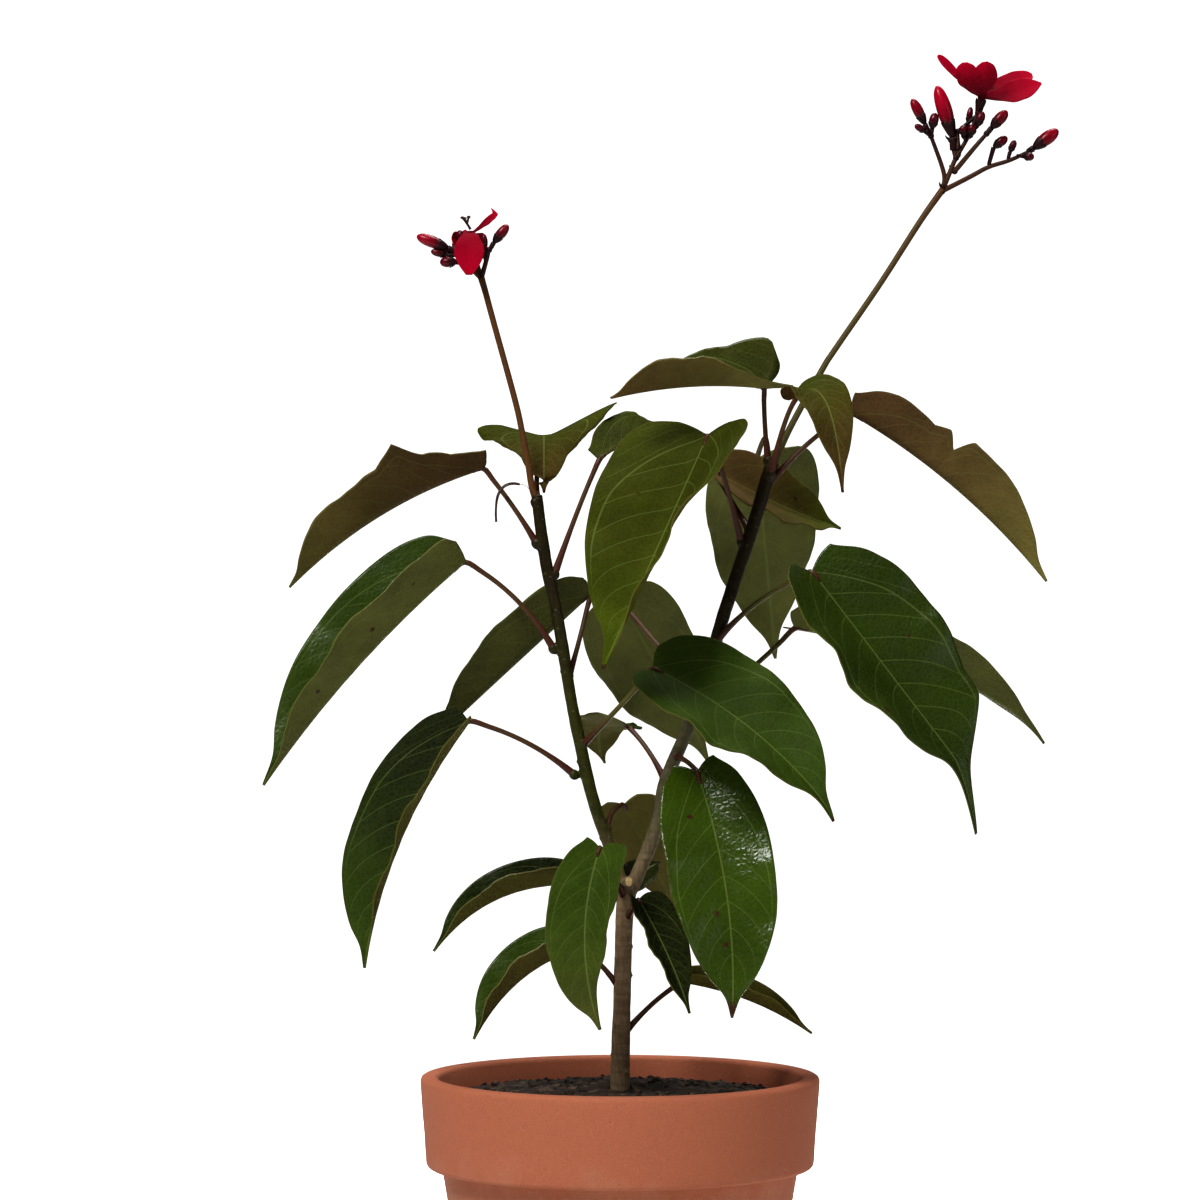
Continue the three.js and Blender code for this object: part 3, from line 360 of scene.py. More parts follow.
CYMES = [
    {
        "name": "flower_stalk_right",
        "stalk": [
            [45.2, 184, 0], [50.7, 196.5, 0], [60.6, 214.5, 0], [64.4, 220.5, 0], [78, 240.3, 0],
            [90, 259, 0], [96.9, 268.8, 0],
        ],
        "twigs": [
            [[96.6, 268, 0], [97.2, 273.3, 0], [93.3, 284.7, 1]],
            [[96.6, 268, 0], [99, 273.9, 0], [100.8, 278.1, 0], [104.7, 285, 0], [107.4, 291.6, 0]],
            [[100.8, 278.1, 0], [99.3, 283.5, 0]],
            [[100.4, 274.1, 0], [106.5, 281.4, -3], [110, 285.4, -3]],
            [[96.7, 268.2, 0], [104.9, 272.4, 1], [110.6, 275.4, 1], [116.6, 277.3, 1], [122.7, 280, 1]],
            [[101.4, 281, 0], [101.2, 286, 1]],
        ],
        "buds": [
            {"from": [93.3, 284.3, 1], "base": [91.5, 288.3, 1], "tip": [87.6, 295.8, 1], "radius": 1.65},
            {"from": [93.4, 284.4, 1], "base": [91.6, 286, -1], "tip": [88.5, 288, -2], "radius": 1.1},
            {"from": [93.3, 284.3, 1], "base": [93.6, 286.9, 0], "tip": [94.6, 291.6, 0], "radius": 1.5},
            {"from": [99.9, 280.4, 0], "base": [99.9, 284.2, 0], "tip": [95.1, 299.7, 0], "radius": 2.4},
            {"from": [103.9, 283.8, 0], "base": [104.4, 288.4, 2], "tip": [105.3, 293.4, 2], "radius": 1},
            {"from": [105.3, 286, 0], "base": [107.1, 287.6, -3], "tip": [108.9, 292, -3], "radius": 1.4},
            {"from": [103.7, 283.6, 0], "base": [102.9, 284.8, -2], "tip": [103.2, 288, -3], "radius": 1.4},
            {
                "from": [103.9, 283.8, 0], "base": [105.4, 284.8, -3], "tip": [105.7, 288.2, -4],
                "radius": 1.4,
            },
            {
                "from": [109.7, 285, -3], "base": [111.4, 287.1, -3], "tip": [116.1, 292.2, -3],
                "radius": 1.8,
            },
            {"from": [122.3, 280, 1], "base": [124, 281, 1], "tip": [131.4, 286.5, 1], "radius": 2.1},
            {"from": [110.6, 276, 1], "base": [112.1, 281.3, 0], "tip": [116.1, 284.4, 0], "radius": 1.5},
            {"from": [116.4, 277.8, 1], "base": [117, 279.9, 1], "tip": [118.5, 283.4, 1], "radius": 1.1},
            {"from": [119.2, 278.8, 1], "base": [121, 278.6, -1], "tip": [124.2, 278.4, -2], "radius": 1.3},
        ],
        "calyx": {"base": [107.2, 290.9, 0], "tip": [108.2, 294.9, 0], "radius": 1.3},
        "petals": [
            {
                "tip": [126.4, 300.6, -2], "arch": [0, 0, -1.5], "faces": [-0.2, -0.95, 0.5], "width": 8,
                "fold": 8, "outline": POINTED_PETAL,
            },
            {
                "tip": [103.4, 306.8, -9], "arch": [-2, -3, -2], "faces": [0.2, 0.8, 0.7], "width": 7.4,
                "fold": 12,
            },
            {
                "tip": [109.4, 307, -9.5], "arch": [1, -3, -2], "faces": [-0.1, 0.8, 0.7], "width": 7.4,
                "fold": 12,
            },
            {
                "tip": [95.4, 309, 4], "arch": [2, 2, -3], "faces": [0.3, -0.9, 0.3], "width": 3,
                "fold": 20, "skew": 2.2,
            },
            {
                "tip": [123.8, 302.8, 4], "arch": [-1, 3, 1], "faces": [-0.3, -0.8, 0.6], "width": 7.4,
                "fold": 12,
            },
        ],
        "throat": [[108.3, 295.4, 0], [108.5, 297.6, 0.3]],
        "stamens": [
            [[108.55, 298.1, 0.35], [108.9, 300.4, 0.8], [109.2, 302.4, 1.2]],
            [[108.9, 300.4, 0.8], [107.7, 302.2, 0.2]], [[108.9, 300.4, 0.8], [110.5, 301.9, 0.4]],
            [[108.9, 300.4, 0.8], [109, 301.8, 2.8]],
        ],
        "anther": 0.62,
    },
    {
        "name": "flower_stalk_left",
        "stalk": [
            [-24.6, 174, 0], [-26.4, 179.4, 0], [-27.5, 186, 0], [-29.4, 196, 0], [-31.5, 205.5, 0],
            [-38.1, 229.5, 0], [-40.4, 238, 0], [-41.7, 242.4, 0],
        ],
        "twigs": [
            [[-41.6, 242, 0], [-39.9, 248.1, 0], [-39.3, 250.5, 0]],
            [[-41.6, 242, 0], [-46.5, 246.9, 0], [-49.2, 250.5, 0]],
            [[-41.6, 242, 0], [-43.8, 249, 1], [-44.5, 252, 1]],
        ],
        "buds": [
            {"from": [-39.4, 250, 0], "base": [-37.9, 252.7, 0], "tip": [-33.6, 258, 0], "radius": 1.6},
            {"from": [-40.3, 246.6, 0], "base": [-40.8, 251, -1], "tip": [-40.8, 255.3, -1], "radius": 1},
            {"from": [-48.9, 250, 0], "base": [-51.6, 251.1, 0], "tip": [-60.9, 254.7, 0], "radius": 1.9},
            {"from": [-48, 248.9, 0], "base": [-52, 248.9, 0], "tip": [-56.7, 250.2, 0], "radius": 1.2},
            {"from": [-47.6, 248.9, 0], "base": [-49.6, 249.9, 1], "tip": [-54.8, 251.6, 1], "radius": 1.3},
            {"from": [-46, 246.4, 0], "base": [-49, 246.9, -1], "tip": [-54, 246.9, -1], "radius": 1.7},
            {"from": [-44.3, 251.3, 1], "base": [-47, 252.5, 1], "tip": [-48.3, 256.4, 1], "radius": 1.2},
        ],
        "calyx": {"base": [-44.4, 251.3, 1], "tip": [-44.7, 254.1, 1], "radius": 1.4},
        "petals": [
            {
                "tip": [-45.3, 243, -8], "arch": [0, -6, 9], "faces": [0, -0.8, 0.6], "width": 9, "fold": 8,
                "outline": DROOPING_PETAL,
            },
            {
                "tip": [-36.8, 261.6, 0], "arch": [1.6, 0, 0.4], "faces": [-0.5, -0.8, 0.4], "width": 2.8,
                "fold": 30, "spikes": [{"side": -1, "at": 0.97, "reach": 2.2, "spread": 0.12}],
            },
            {"tip": [-42.3, 247.2, 9], "arch": [1, 6, 7], "faces": [0.2, 0.8, 0.6], "width": 6, "fold": 8},
            {
                "tip": [-46.6, 247, 8.5], "arch": [-1, 6, 7], "faces": [-0.2, 0.8, 0.6], "width": 6,
                "fold": 8,
            },
            {
                "tip": [-48.8, 250.4, 6], "arch": [-3, 3, 6], "faces": [-0.5, 0.3, 0.8], "width": 4.5,
                "fold": 12,
            },
        ],
        "throat": [[-44.75, 254.6, 1], [-44.8, 256.2, 1]],
        "stamens": [
            [[-44.85, 256.7, 1], [-45.9, 258.4, 1], [-47.3, 260.2, 0.6]],
            [[-45.9, 258.4, 1], [-45.4, 260.4, 1.3]], [[-45.9, 258.4, 1], [-46.6, 260, 2.8]],
        ],
        "anther": 0.4,
    },
]

# The colours of a leaf's faces and petiole, each from base to tip, and its dry spots: [side, u, v, radius
# in mm]. wax is how glossy the blade is: 1 on a full-grown leaf and 0.3 on a young one where it isn't given,
# and below 0 where the photograph shows it dull. late is how near the tip its colour sets in: LATE where it
# isn't given, and more is nearer.
# Of the upper-face greens, the lighter one for leaves in better light is painted light and the bottle green
# is painted shade; leaf_left_low runs from painted shade at its base to painted light at its tip.
LOOKS = {
    "leaf_left_high": {"upper": ("olive", "maroon"), "under": ("bronze", "straw")},
    "leaf_left_large": {
        "upper": ("lit_green", "lit_green"), "wax": 0.6, "under": ("grey", "grey"),
        "spots": [[-1, 0.38, 0.5, 0.9], [-1, 0.18, 0.6, 0.7], [-1, 0.65, 0.6, 0.8], [1, 0.5, 0.8, 0.5]],
    },
    "leaf_left_low": {
        "upper": ("shade", "lit_green"), "under": ("khaki", "khaki"), "wax": -0.8,
        "spots": [[-1, 0.85, 0.5, 0.8]],
    },
    "leaf_left_crown": {
        "upper": ("olive", "bronze"), "under": ("moss", "bronze"), "wax": -1.2, "spots": [[1, 1, 0, 1.2]],
    },
    "leaf_left_sickle": {"upper": ("maroon", "maroon"), "under": ("maroon", "maroon")},
    "leaf_center_back": {"upper": ("olive", "olive"), "under": ("moss", "khaki"), "wax": -0.8},
    "leaf_center_front": {
        "upper": ("olive", "lime"), "late": 4, "under": ("khaki", "lime"), "wax": -1.2,
        "spots": [[-1, 0.33, 0.45, 0.9], [1, 0.3, 0.5, 0.6], [1, 1, 0, 1.2]],
    },
    "leaf_right_crown_left": {"upper": ("olive", "olive"), "under": ("straw", "umber")},
    "leaf_right_crown_front": {
        "upper": ("olive", "bronze"), "under": ("bronze", "bronze"), "wax": -1.2, "spots": [[1, 1, 0, 1.2]],
    },
    "leaf_right_high": {"upper": ("olive", "lime"), "under": ("bronze", "straw")},
    "leaf_right_mid_back": {
        "upper": ("umber", "lime"), "wax": -1, "under": ("khaki", "khaki"),
        "spots": [[1, 0.4, 0.5, 0.7], [-1, 0.6, 0.4, 0.6], [1, 0.7, 0.3, 0.5], [1, 0.25, 0.7, 0.5]],
    },
    "leaf_right_back": {
        "upper": ("deep", "deep"), "under": ("grey", "grey"), "petiole": ("stalk", "khaki"),
    },
    "leaf_right_large": {
        "upper": ("deep", "deep"), "under": ("khaki", "khaki"), "petiole": ("stalk", "khaki"),
        "spots": [[1, 0.62, 0.8, 1.3], [-1, 0.4, 0.5, 0.6], [1, 0.3, 0.35, 0.5], [1, 1, 0, 1.2]],
    },
    "leaf_right_behind": {
        "upper": ("shade", "deep"), "under": ("grey", "moss"), "petiole": ("stalk", "khaki"),
    },
    "leaf_center_low": {
        "upper": ("lit_green", "lit_green"), "under": ("khaki", "khaki"), "petiole": ("stalk", "khaki"),
        "wax": -0.6, "spots": [[1, 1, 0, 1.2], [-1, 0.5, 0.4, 0.4]],
    },
    "leaf_center_behind": {"upper": ("deep", "deep"), "under": ("grey", "grey")},
    "leaf_left_behind": {"upper": ("deep", "deep"), "under": ("moss", "moss")},
    "leaf_center_small": {"upper": ("deep", "olive"), "under": ("khaki", "khaki")},
    "leaf_front_low": {
        "upper": ("lit_green", "lit_green"), "under": ("khaki", "khaki"), "wax": 1.3,
        "spots": [[1, 0.17, 0.4, 0.9], [1, 0.57, 0.25, 0.9], [1, 0.7, 0.15, 0.8], [1, 1, 0, 4.5]],
    },
    "leaf_front_left": {"upper": ("lit_green", "grey"), "under": ("khaki", "khaki"), "wax": -0.8, "late": 3},
    "leaf_low_left": {"upper": ("lit_green", "lit_green"), "under": ("straw", "straw"), "wax": 0.6},
    "leaf_mid_left": {"upper": ("shade", "deep"), "under": ("khaki", "khaki"), "wax": 0.4},
    "leaf_front_right_small": {"upper": ("shade", "shade"), "under": ("khaki", "khaki"), "wax": -1.2},
    "leaf_low_right": {"upper": ("khaki", "khaki"), "under": ("straw", "straw"), "wax": -1.2},
    "leaf_fork_behind": {"upper": ("deep", "olive"), "under": ("straw", "straw")},
    "leaf_fork_small": {"upper": ("shade", "shade"), "under": ("khaki", "khaki")},
}


def linear(code):
    """An sRGB hex colour as linear red, green and blue."""
    parts = [int(code[i : i + 2], 16) / 255 for i in (1, 3, 5)]
    return tuple(c / 12.92 if c <= 0.04045 else ((c + 0.055) / 1.055) ** 2.4 for c in parts)


def colour(name, description, code):
    """A colour that a user may change."""
    return bpy.props.FloatVectorProperty(
        name=name, description=description, subtype="COLOR", min=0, max=1, default=linear(code)
    )


def length(name, description, millimetres):
    """A length that a user may change."""
    return bpy.props.FloatProperty(
        name=name,
        description=description,
        subtype="DISTANCE",
        unit="LENGTH",
        min=0,
        precision=5,
        default=millimetres * MM,
    )


def lamp_power(name, description, watts):
    """The power of a lamp that a user may change."""
    return bpy.props.FloatProperty(name=name, description=description, unit="POWER", default=watts)


class FoliageSettings(bpy.types.PropertyGroup):
    """Colours of the leaves and how deep their relief is."""

    deep: colour("Deep green", "Upper face of a full-grown leaf", "#2a3807")
    # Painted light: a lighter copy of the leaf green, for the upper faces of leaves that stand in better
    # light.
    lit_green: colour("Fresh green", "Upper face of a leaf in better light", "#34460a")
    # The yellow green of drip tips and thin young blades is partly their own colour and partly painted light
    # that shines through the thin tissue.
    lime: colour("Yellow green", "Drip tips and thin young blades", "#4c5a06")
    olive: colour("Olive", "Upper face of a leaf that is still turning green", "#363b05")
    # Painted shade: a darker copy of the leaf green, for the upper faces of the small leaves low on the trunk
    # and of leaves that stand in shadow.
    shade: colour("Bottle green", "Upper face of the small leaves low on the trunk", "#181d05")
    khaki: colour("Khaki", "Underside of a full-grown leaf", "#555122")
    grey: colour("Grey green", "Underside of a leaf that hangs behind", "#5a5c2b")
    moss: colour("Moss", "Underside in the shade of the leaf before it", "#434418")
    straw: colour("Straw green", "Underside that the light reaches", "#6a6230")
    umber: colour("Umber", "Underside of a young leaf that turns green", "#664f2e")
    bronze: colour("Bronze", "Underside of a young leaf", "#4b341b")
    maroon: colour("Maroon", "Young blades and petioles", "#2c120c")
    stalk: colour("Petiole", "Leaf stalks", "#451f13")
    vein: colour("Vein", "Lines of the veins in the upper face", "#7d8c4c")
    margin: colour("Margin", "The thin dry edge of a blade", "#66622e")
    blemish: colour("Blemish", "Dry spots and specks", "#3c1a12")
    relief: length("Relief", "How far the blade swells between two side veins", 0.1)
    rib: length("Rib", "How far the midrib stands out of the underside", 0.35)


class ShootSettings(bpy.types.PropertyGroup):
    """Colours of the stem and of the flower stalks."""

    trunk: colour("Trunk", "Bark of the trunk", "#75624a")
    pale: colour("Pale branch", "Skin of the right branch above the fork", "#55503a")
    green: colour("Green branch", "Skin of the left branch", "#34350f")
    branch: colour("Branch", "Skin of the young ends of the branches", "#241d08")
    lenticel: colour("Lenticel", "Corky specks in the bark", "#8d7f68")
    wood: colour("Cut wood", "Face of the pruned stub", "#b39a6c")
    stalk_olive: colour("Olive stalk", "Flower stalk of the right cluster", "#4f4a26")
    stalk_brown: colour("Brown stalk", "Flower stalk of the left cluster", "#5a3a1c")
    twig: colour("Twig", "Twigs and calyces of the clusters", "#24090b")


class BloomSettings(bpy.types.PropertyGroup):
    """Colours of the flowers."""

    crimson: colour("Crimson", "Petals in full light", "#a50026")
    blood: colour("Blood red", "Claws of the petals and the rolled buds", "#650018")
    anther: colour("Anther", "Pollen sacs", "#3a1610")


class PotSettings(bpy.types.PropertyGroup):
    """Colours of the pot and the soil, and the pot's wall."""

    clay: colour("Clay", "Fired clay", "#a85f41")
    bloom: colour("Lime bloom", "Salts that the wall sweats out", "#c79f86")
    earth: colour("Earth", "Moist potting soil", "#2c2018")
    grit: colour("Grit", "Bark crumbs and grit in the soil", "#5c4a38")
    wobble: length("Wobble", "How far the wall strays from round", 0.12)


class StageSettings(bpy.types.PropertyGroup):
    """Paper and lights."""

    paper: colour("Paper", "Seamless paper under the pot", "#f2f2f0")
    key: lamp_power("Key", "Power of the main soft light", 21)
    fill: lamp_power("Fill", "Power of the fill light", 3)
    paper_light: lamp_power("Paper light", "Power of the lamp over the paper behind the plant", 6)
    sky: bpy.props.FloatProperty(
        name="Sky", description="Strength of the light from all round", default=0.08, min=0
    )


def settings(group):
    """One of the property groups, from the scene."""
    return getattr(bpy.context.scene, "peregrina_" + group)


# Places


def seen(place):
    """A place that the viewer sees, carried to its depth along the line of sight, in millimetres."""
    x, height, depth = place
    reach = (depth - EYE.y) / -EYE.y
    z = EYE.z + (SOIL["crown"] + height - EYE.z) * reach
    return np.array([EYE.x + (x - EYE.x) * reach, depth, z])


def unit(vectors):
    """The same directions with length 1."""
    return vectors / np.linalg.norm(vectors, axis=-1, keepdims=True)


def around(angle, side, other):
    """Directions at angles from side towards other."""
    return np.cos(angle)[:, None] * side + np.sin(angle)[:, None] * other


def turn_of(count):
    """Angles at even steps round a circle."""
    return np.linspace(0, 2 * np.pi, count, endpoint=False)


def between(ends, share):
    """The colours that lie between two, for each share of the way from the first to the second."""
    low, high = np.array(ends, float)
    return low + (high - low) * np.reshape(share, (-1, 1))


def along(table, u):
    """The value at u of a table of [u, value] pairs, with round transitions between them."""
    at, value = np.array(table, float).T
    slope = np.diff(value) / np.diff(at)
    tangent = np.concatenate([slope[:1], (slope[:-1] + slope[1:]) / 2, slope[-1:]])
    turns = slope[:-1] * slope[1:] <= 0
    tangent[1:-1][turns] = 0
    u = np.clip(u, at[0], at[-1])
    k = np.clip(np.searchsorted(at, u, side="right") - 1, 0, len(at) - 2)
    span = at[k + 1] - at[k]
    t = (u - at[k]) / span
    rise = t * t * (3 - 2 * t)
    lead = t * (1 - t) ** 2 * tangent[k] * span
    trail = t * t * (t - 1) * tangent[k + 1] * span
    return value[k] + (value[k + 1] - value[k]) * rise + lead + trail


def evenly(values, u):
    """The value at u of a list of values at even steps from 0 to 1."""
    return np.interp(u, np.linspace(0, 1, len(values)), values) if len(values) > 1 else values[0] + 0 * u


def curve_through(points, count):
    """Evenly spaced places on a smooth line through the points, and the share of the way of each."""
    points = np.array(points, float)
    ends = [2 * points[0] - points[1], 2 * points[-1] - points[-2]]
    p = np.vstack([ends[0], points, ends[1]])
    t = np.linspace(0, len(points) - 1, 40 * (len(points) - 1) + 1)
    k = np.minimum(t.astype(int), len(points) - 2)
    f = (t - k)[:, None]
    a, b, c, d = p[k], p[k + 1], p[k + 2], p[k + 3]
    fine = 0.5 * (2 * b + (c - a) * f + (2 * a - 5 * b + 4 * c - d) * f**2 + (3 * b - a - 3 * c + d) * f**3)
    way = np.concatenate([[0], np.cumsum(np.linalg.norm(np.diff(fine, axis=0), axis=1))])
    even = np.linspace(0, way[-1], count)
    places = np.stack([np.interp(even, way, fine[:, i]) for i in range(3)], axis=1)
    return places, np.interp(even, way, t) / (len(points) - 1)


# Meshes


class Shape:
    """Vertices, faces and painted fields of one piece, gathered before its mesh is made."""

    def __init__(self):
        self.vertices = []
        self.faces = []
        self.finishes = []
        self.flat = []
        self.fields = {}
        self.count = 0

    def add(self, vertices, faces, finish=0, flat=False, **fields):
        """Adds a part with one finish, given by its number, and the fields that its shader reads."""
        vertices = np.asarray(vertices, float).reshape(-1, 3)
        self.vertices.append(vertices)
        self.faces += [[i + self.count for i in face] for face in faces]
        self.finishes += [finish] * len(faces)
        self.flat += [flat] * len(faces)
        for name, values in fields.items():
            self.fields.setdefault(name, []).append((self.count, np.asarray(values, float)))
        self.count += len(vertices)

    def make(self, name, finishes):
        """The piece as an object, at rest in the frame."""
        mesh = bpy.data.meshes.new(name)
        mesh.from_pydata((np.vstack(self.vertices) * MM).tolist(), [], self.faces)
        mesh.polygons.foreach_set("material_index", self.finishes)
        mesh.polygons.foreach_set("use_smooth", [not flat for flat in self.flat])
        for field, parts in self.fields.items():
            wide = parts[0][1].ndim > 1
            values = np.zeros((self.count, 4) if wide else self.count, np.float32)
            for start, part in parts:
                if wide:
                    values[start : start + len(part), :3] = part
                    values[start : start + len(part), 3] = 1
                else:
                    values[start : start + len(part)] = part
            kind = "FLOAT_COLOR" if wide else "FLOAT"
            layer = mesh.attributes.new(field, kind, "POINT")
            layer.data.foreach_set("color" if wide else "value", values.ravel())
        for finish in finishes:
            mesh.materials.append(finish)
        mesh.validate()
        piece = bpy.data.objects.new(name, mesh)
        bpy.context.scene.collection.objects.link(piece)
        return piece


def place(piece, slot, *nodes):
    """Lets a piece ride on the plant and stand for its nodes. slot is not used."""
    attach(piece, "root")
    if nodes:
        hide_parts(*nodes)
    return piece


def sheet_faces(rows, columns, start=0, closed=False):
    """Quads over a grid of vertices, row by row. closed joins the last column to the first."""
    faces = []
    for i in range(rows - 1):
        for j in range(columns if closed else columns - 1):
            k = (j + 1) % columns
            a, b = start + i * columns + j, start + i * columns + k
            faces.append([a, b, b + columns, a + columns])
    return faces


def tube(points, radii, sides=12, spacing=1.0):
    """A round stem through the points, with radii at even steps of them, closed at both ends."""
    rough = np.linalg.norm(np.diff(np.array(points, float), axis=0), axis=1).sum()
    count = max(6, int(rough / spacing) + 1)
    centres, at = curve_through(points, count)
    forward = unit(np.gradient(centres, axis=0))
    normal = np.cross(forward[0], [0.3, 0.9, 0.31])
    rings = []
    angle = turn_of(sides)
    for centre, ahead, radius in zip(centres, forward, evenly(radii, at)):
        normal = unit(normal - ahead * np.dot(normal, ahead))
        other = np.cross(ahead, normal)
        rings.append(centre + radius * around(angle, normal, other))
    faces = sheet_faces(count, sides, closed=True)
    faces.append(list(range(sides))[::-1])
    faces.append(list(range((count - 1) * sides, count * sides)))
    return np.vstack(rings), faces, np.repeat(at, sides)


def settle(piece):
    """Applies a piece's modifiers."""
    depsgraph = bpy.context.evaluated_depsgraph_get()
    done = bpy.data.meshes.new_from_object(piece.evaluated_get(depsgraph), depsgraph=depsgraph)
    piece.modifiers.clear()
    piece.data = done


# Blades


def half_width(leaf, u, side):
    """Half width of a blade at u, on its left side (-1) or right side (1)."""
    half = leaf["left"] if side < 0 else leaf["right"]
    width = half["width"] * along(leaf["outline"], u ** half.get("skew", 1))
    for spike in leaf.get("spikes", []):
        if spike["side"] == side:
            off = np.clip(1 - np.abs(u - spike["at"]) / spike["spread"], 0, 1)
            width = width + spike["reach"] * off**1.2
    return np.maximum(width, BLADE["tip"])


def midrib(leaf, u):
    """Places on the midrib at u, and the way that it runs there."""
    base, control, tip = leaf["line"]
    u = u[:, None]
    places = (1 - u) ** 2 * base + 2 * u * (1 - u) * control + u**2 * tip
    return places, unit((1 - u) * (control - base) + u * (tip - control))


def vein_fields(u, v, width):
    """Where a place of the blade lies between the veins."""
    near_base = VEINS["basal_reach"] * (1 - np.exp(-u / VEINS["basal_rise"]))
    return {
        "side_vein": (u - VEINS["sweep"] * v - VEINS["curve"] * v**2) / VEINS["spacing"],
        "outer_vein": (u - VEINS["outer_sweep"] * v) / VEINS["outer_spacing"],
        "basal_vein": near_base - v,
        "midrib_mm": v * width,
        "margin_mm": (1 - v) * width + 0.4 * np.exp(-((width / 1.2) ** 2)),
    }


def relief(fields, u, v):
    """How far the upper face swells at a place, in parts of the relief, with the veins sunk in."""
    swell = np.sin(np.pi * fields["side_vein"]) ** 2
    inside = 1 / (1 + np.exp(-fields["basal_vein"] / 0.03))
    basal = 1 - np.exp(-((fields["basal_vein"] / 0.07) ** 2))
    centre = 1 - np.exp(-((fields["midrib_mm"] / 0.9) ** 2))
    fade = np.clip((1 - v) / 0.25, 0, 1) * np.sin(np.pi * np.clip(u, 0.02, 0.98)) ** 0.5
    return (swell * inside + 0.6 * (1 - inside)) * basal * centre * fade


def half_blade(leaf, u, v, side):
    """Places and normals of the upper face of one half, on the grid of u and v, with its fields."""
    places, forward = midrib(leaf, u)
    up = leaf["faces"] - forward * (forward @ leaf["faces"])[:, None]
    up = unit(up)
    across = np.cross(forward, up) * side
    half = leaf["left"] if side < 0 else leaf["right"]
    tilt = np.radians(evenly(half["fold"], u))[:, None]
    tilt = np.where(np.abs(tilt) < 1e-4, 1e-4, tilt)
    v = v[None, :]
    lean = tilt * np.minimum(v / BLADE["crease"], 1)
    bend = BLADE["crease"] / tilt
    flat = np.maximum(v - BLADE["crease"], 0)
    width = half_width(leaf, u, side)[:, None]
    out = width * (bend * np.sin(lean) + flat * np.cos(tilt))
    rise = width * (bend * (1 - np.cos(lean)) + flat * np.sin(tilt))
    uu = u[:, None]
    back = leaf["lobe"] * np.maximum(1 - uu / BLADE["lobe_end"], 0) ** 2 * v * (2 - v)
    wave = leaf["wave"] * v**2 * np.sin(MARGIN["waves"] * np.pi * uu + side) * np.sin(np.pi * uu)
    fields = vein_fields(uu, v, width) if leaf["veined"] else {}
    if leaf["veined"]:
        swell = relief(fields, uu, v)
        ripple = MARGIN["ripple"] * v**4 * np.sin(MARGIN["ripples"] * uu * np.pi + 2 * side)
        ripple = ripple * np.sin(np.pi * uu)
        wave = wave + leaf["relief"] * (swell - 0.5) + ripple * np.minimum(width / 12, 1)
    normal = up[:, None] * np.cos(lean)[..., None] - across[:, None] * np.sin(lean)[..., None]
    point = (
        places[:, None]
        + across[:, None] * out[..., None]
        + up[:, None] * rise[..., None]
        - forward[:, None] * back[..., None]
        + normal * wave[..., None]
    )
    tail = np.maximum((uu - 0.85) / 0.15, 0)
    point[..., 2] -= leaf.get("hang", 0) * tail**2
    fields = {name: np.broadcast_to(value, out.shape) for name, value in fields.items()}
    return point, normal, fields


def blade(shape, leaf, upper, under, finishes=(0, 1)):
    """Adds a thin blade to a shape. upper and under give the colour of each face from base to tip."""
    long = np.linalg.norm(leaf["line"][2] - leaf["line"][0])
    rows = int(np.clip(long / leaf["grain"], *BLADE_ROWS))
    half_columns = int(np.clip(leaf["widest"] / leaf["grain"] * 0.8, *HALF_COLUMNS))
    u = np.linspace(0, 1, rows) ** 1.1
    v = np.linspace(0, 1, half_columns + 1)
    left, left_normal, left_fields = half_blade(leaf, u, v[:0:-1], -1)
    right, right_normal, right_fields = half_blade(leaf, u, v, 1)
    top = np.concatenate([left, right], axis=1)
    normal = np.concatenate([left_normal, right_normal], axis=1)
    fields = {k: np.concatenate([left_fields[k], right_fields[k]], axis=1) for k in left_fields}
    thick = leaf["thickness"]
    rib = 0
    if fields:
        rib = leaf["rib"] * np.exp(-((fields["midrib_mm"] / RIB["half_width"]) ** 2))
        rib = rib * (1 - RIB["taper"] * u[:, None])
    bottom = top - normal * (thick + rib + 0 * top[..., 0])[..., None]
    columns = top.shape[1]
    share = np.repeat(u, columns) ** leaf.get("late", LATE)
    painted = {name: value.ravel() for name, value in fields.items()}
    spots = blemishes(leaf, top)
    painted["wax"] = np.full(rows * columns, leaf.get("wax", 0))
    start, faces = shape.count, sheet_faces(rows, columns)
    shape.add(top, faces, finishes[0], tissue=between(upper, share), blemish=spots, **painted)
    lower = [face[::-1] for face in faces]
    shape.add(bottom, lower, finishes[1], tissue=between(under, share), blemish=spots, **painted)
    edge = [i * columns for i in range(rows)]
    edge += [(rows - 1) * columns + j for j in range(1, columns)]
    edge += [i * columns + columns - 1 for i in range(rows - 2, -1, -1)]
    edge += [j for j in range(columns - 2, 0, -1)]
    offset = rows * columns
    steps = zip(edge, edge[1:] + edge[:1])
    rim = [[start + a, start + b, start + b + offset, start + a + offset] for a, b in steps]
    shape.faces += rim
    shape.finishes += [finishes[0]] * len(rim)
    shape.flat += [True] * len(rim)


def blemishes(leaf, top):
    """How strong the leaf's own dry spots are at each place: spots are [side, u, v, radius]."""
    strength = np.zeros(top.shape[:2])
    for side, u, v, radius in leaf.get("spots", []):
        centre = half_blade(leaf, np.array([u]), np.array([v]), side)[0][0, 0]
        away = np.linalg.norm(top - centre, axis=2) / radius
        strength = np.maximum(strength, np.clip(1.6 - away, 0, 1))
    return strength.ravel()


def pair(group, names):
    """Two named colours of a settings group."""
    return [tuple(getattr(group, name)) for name in names]


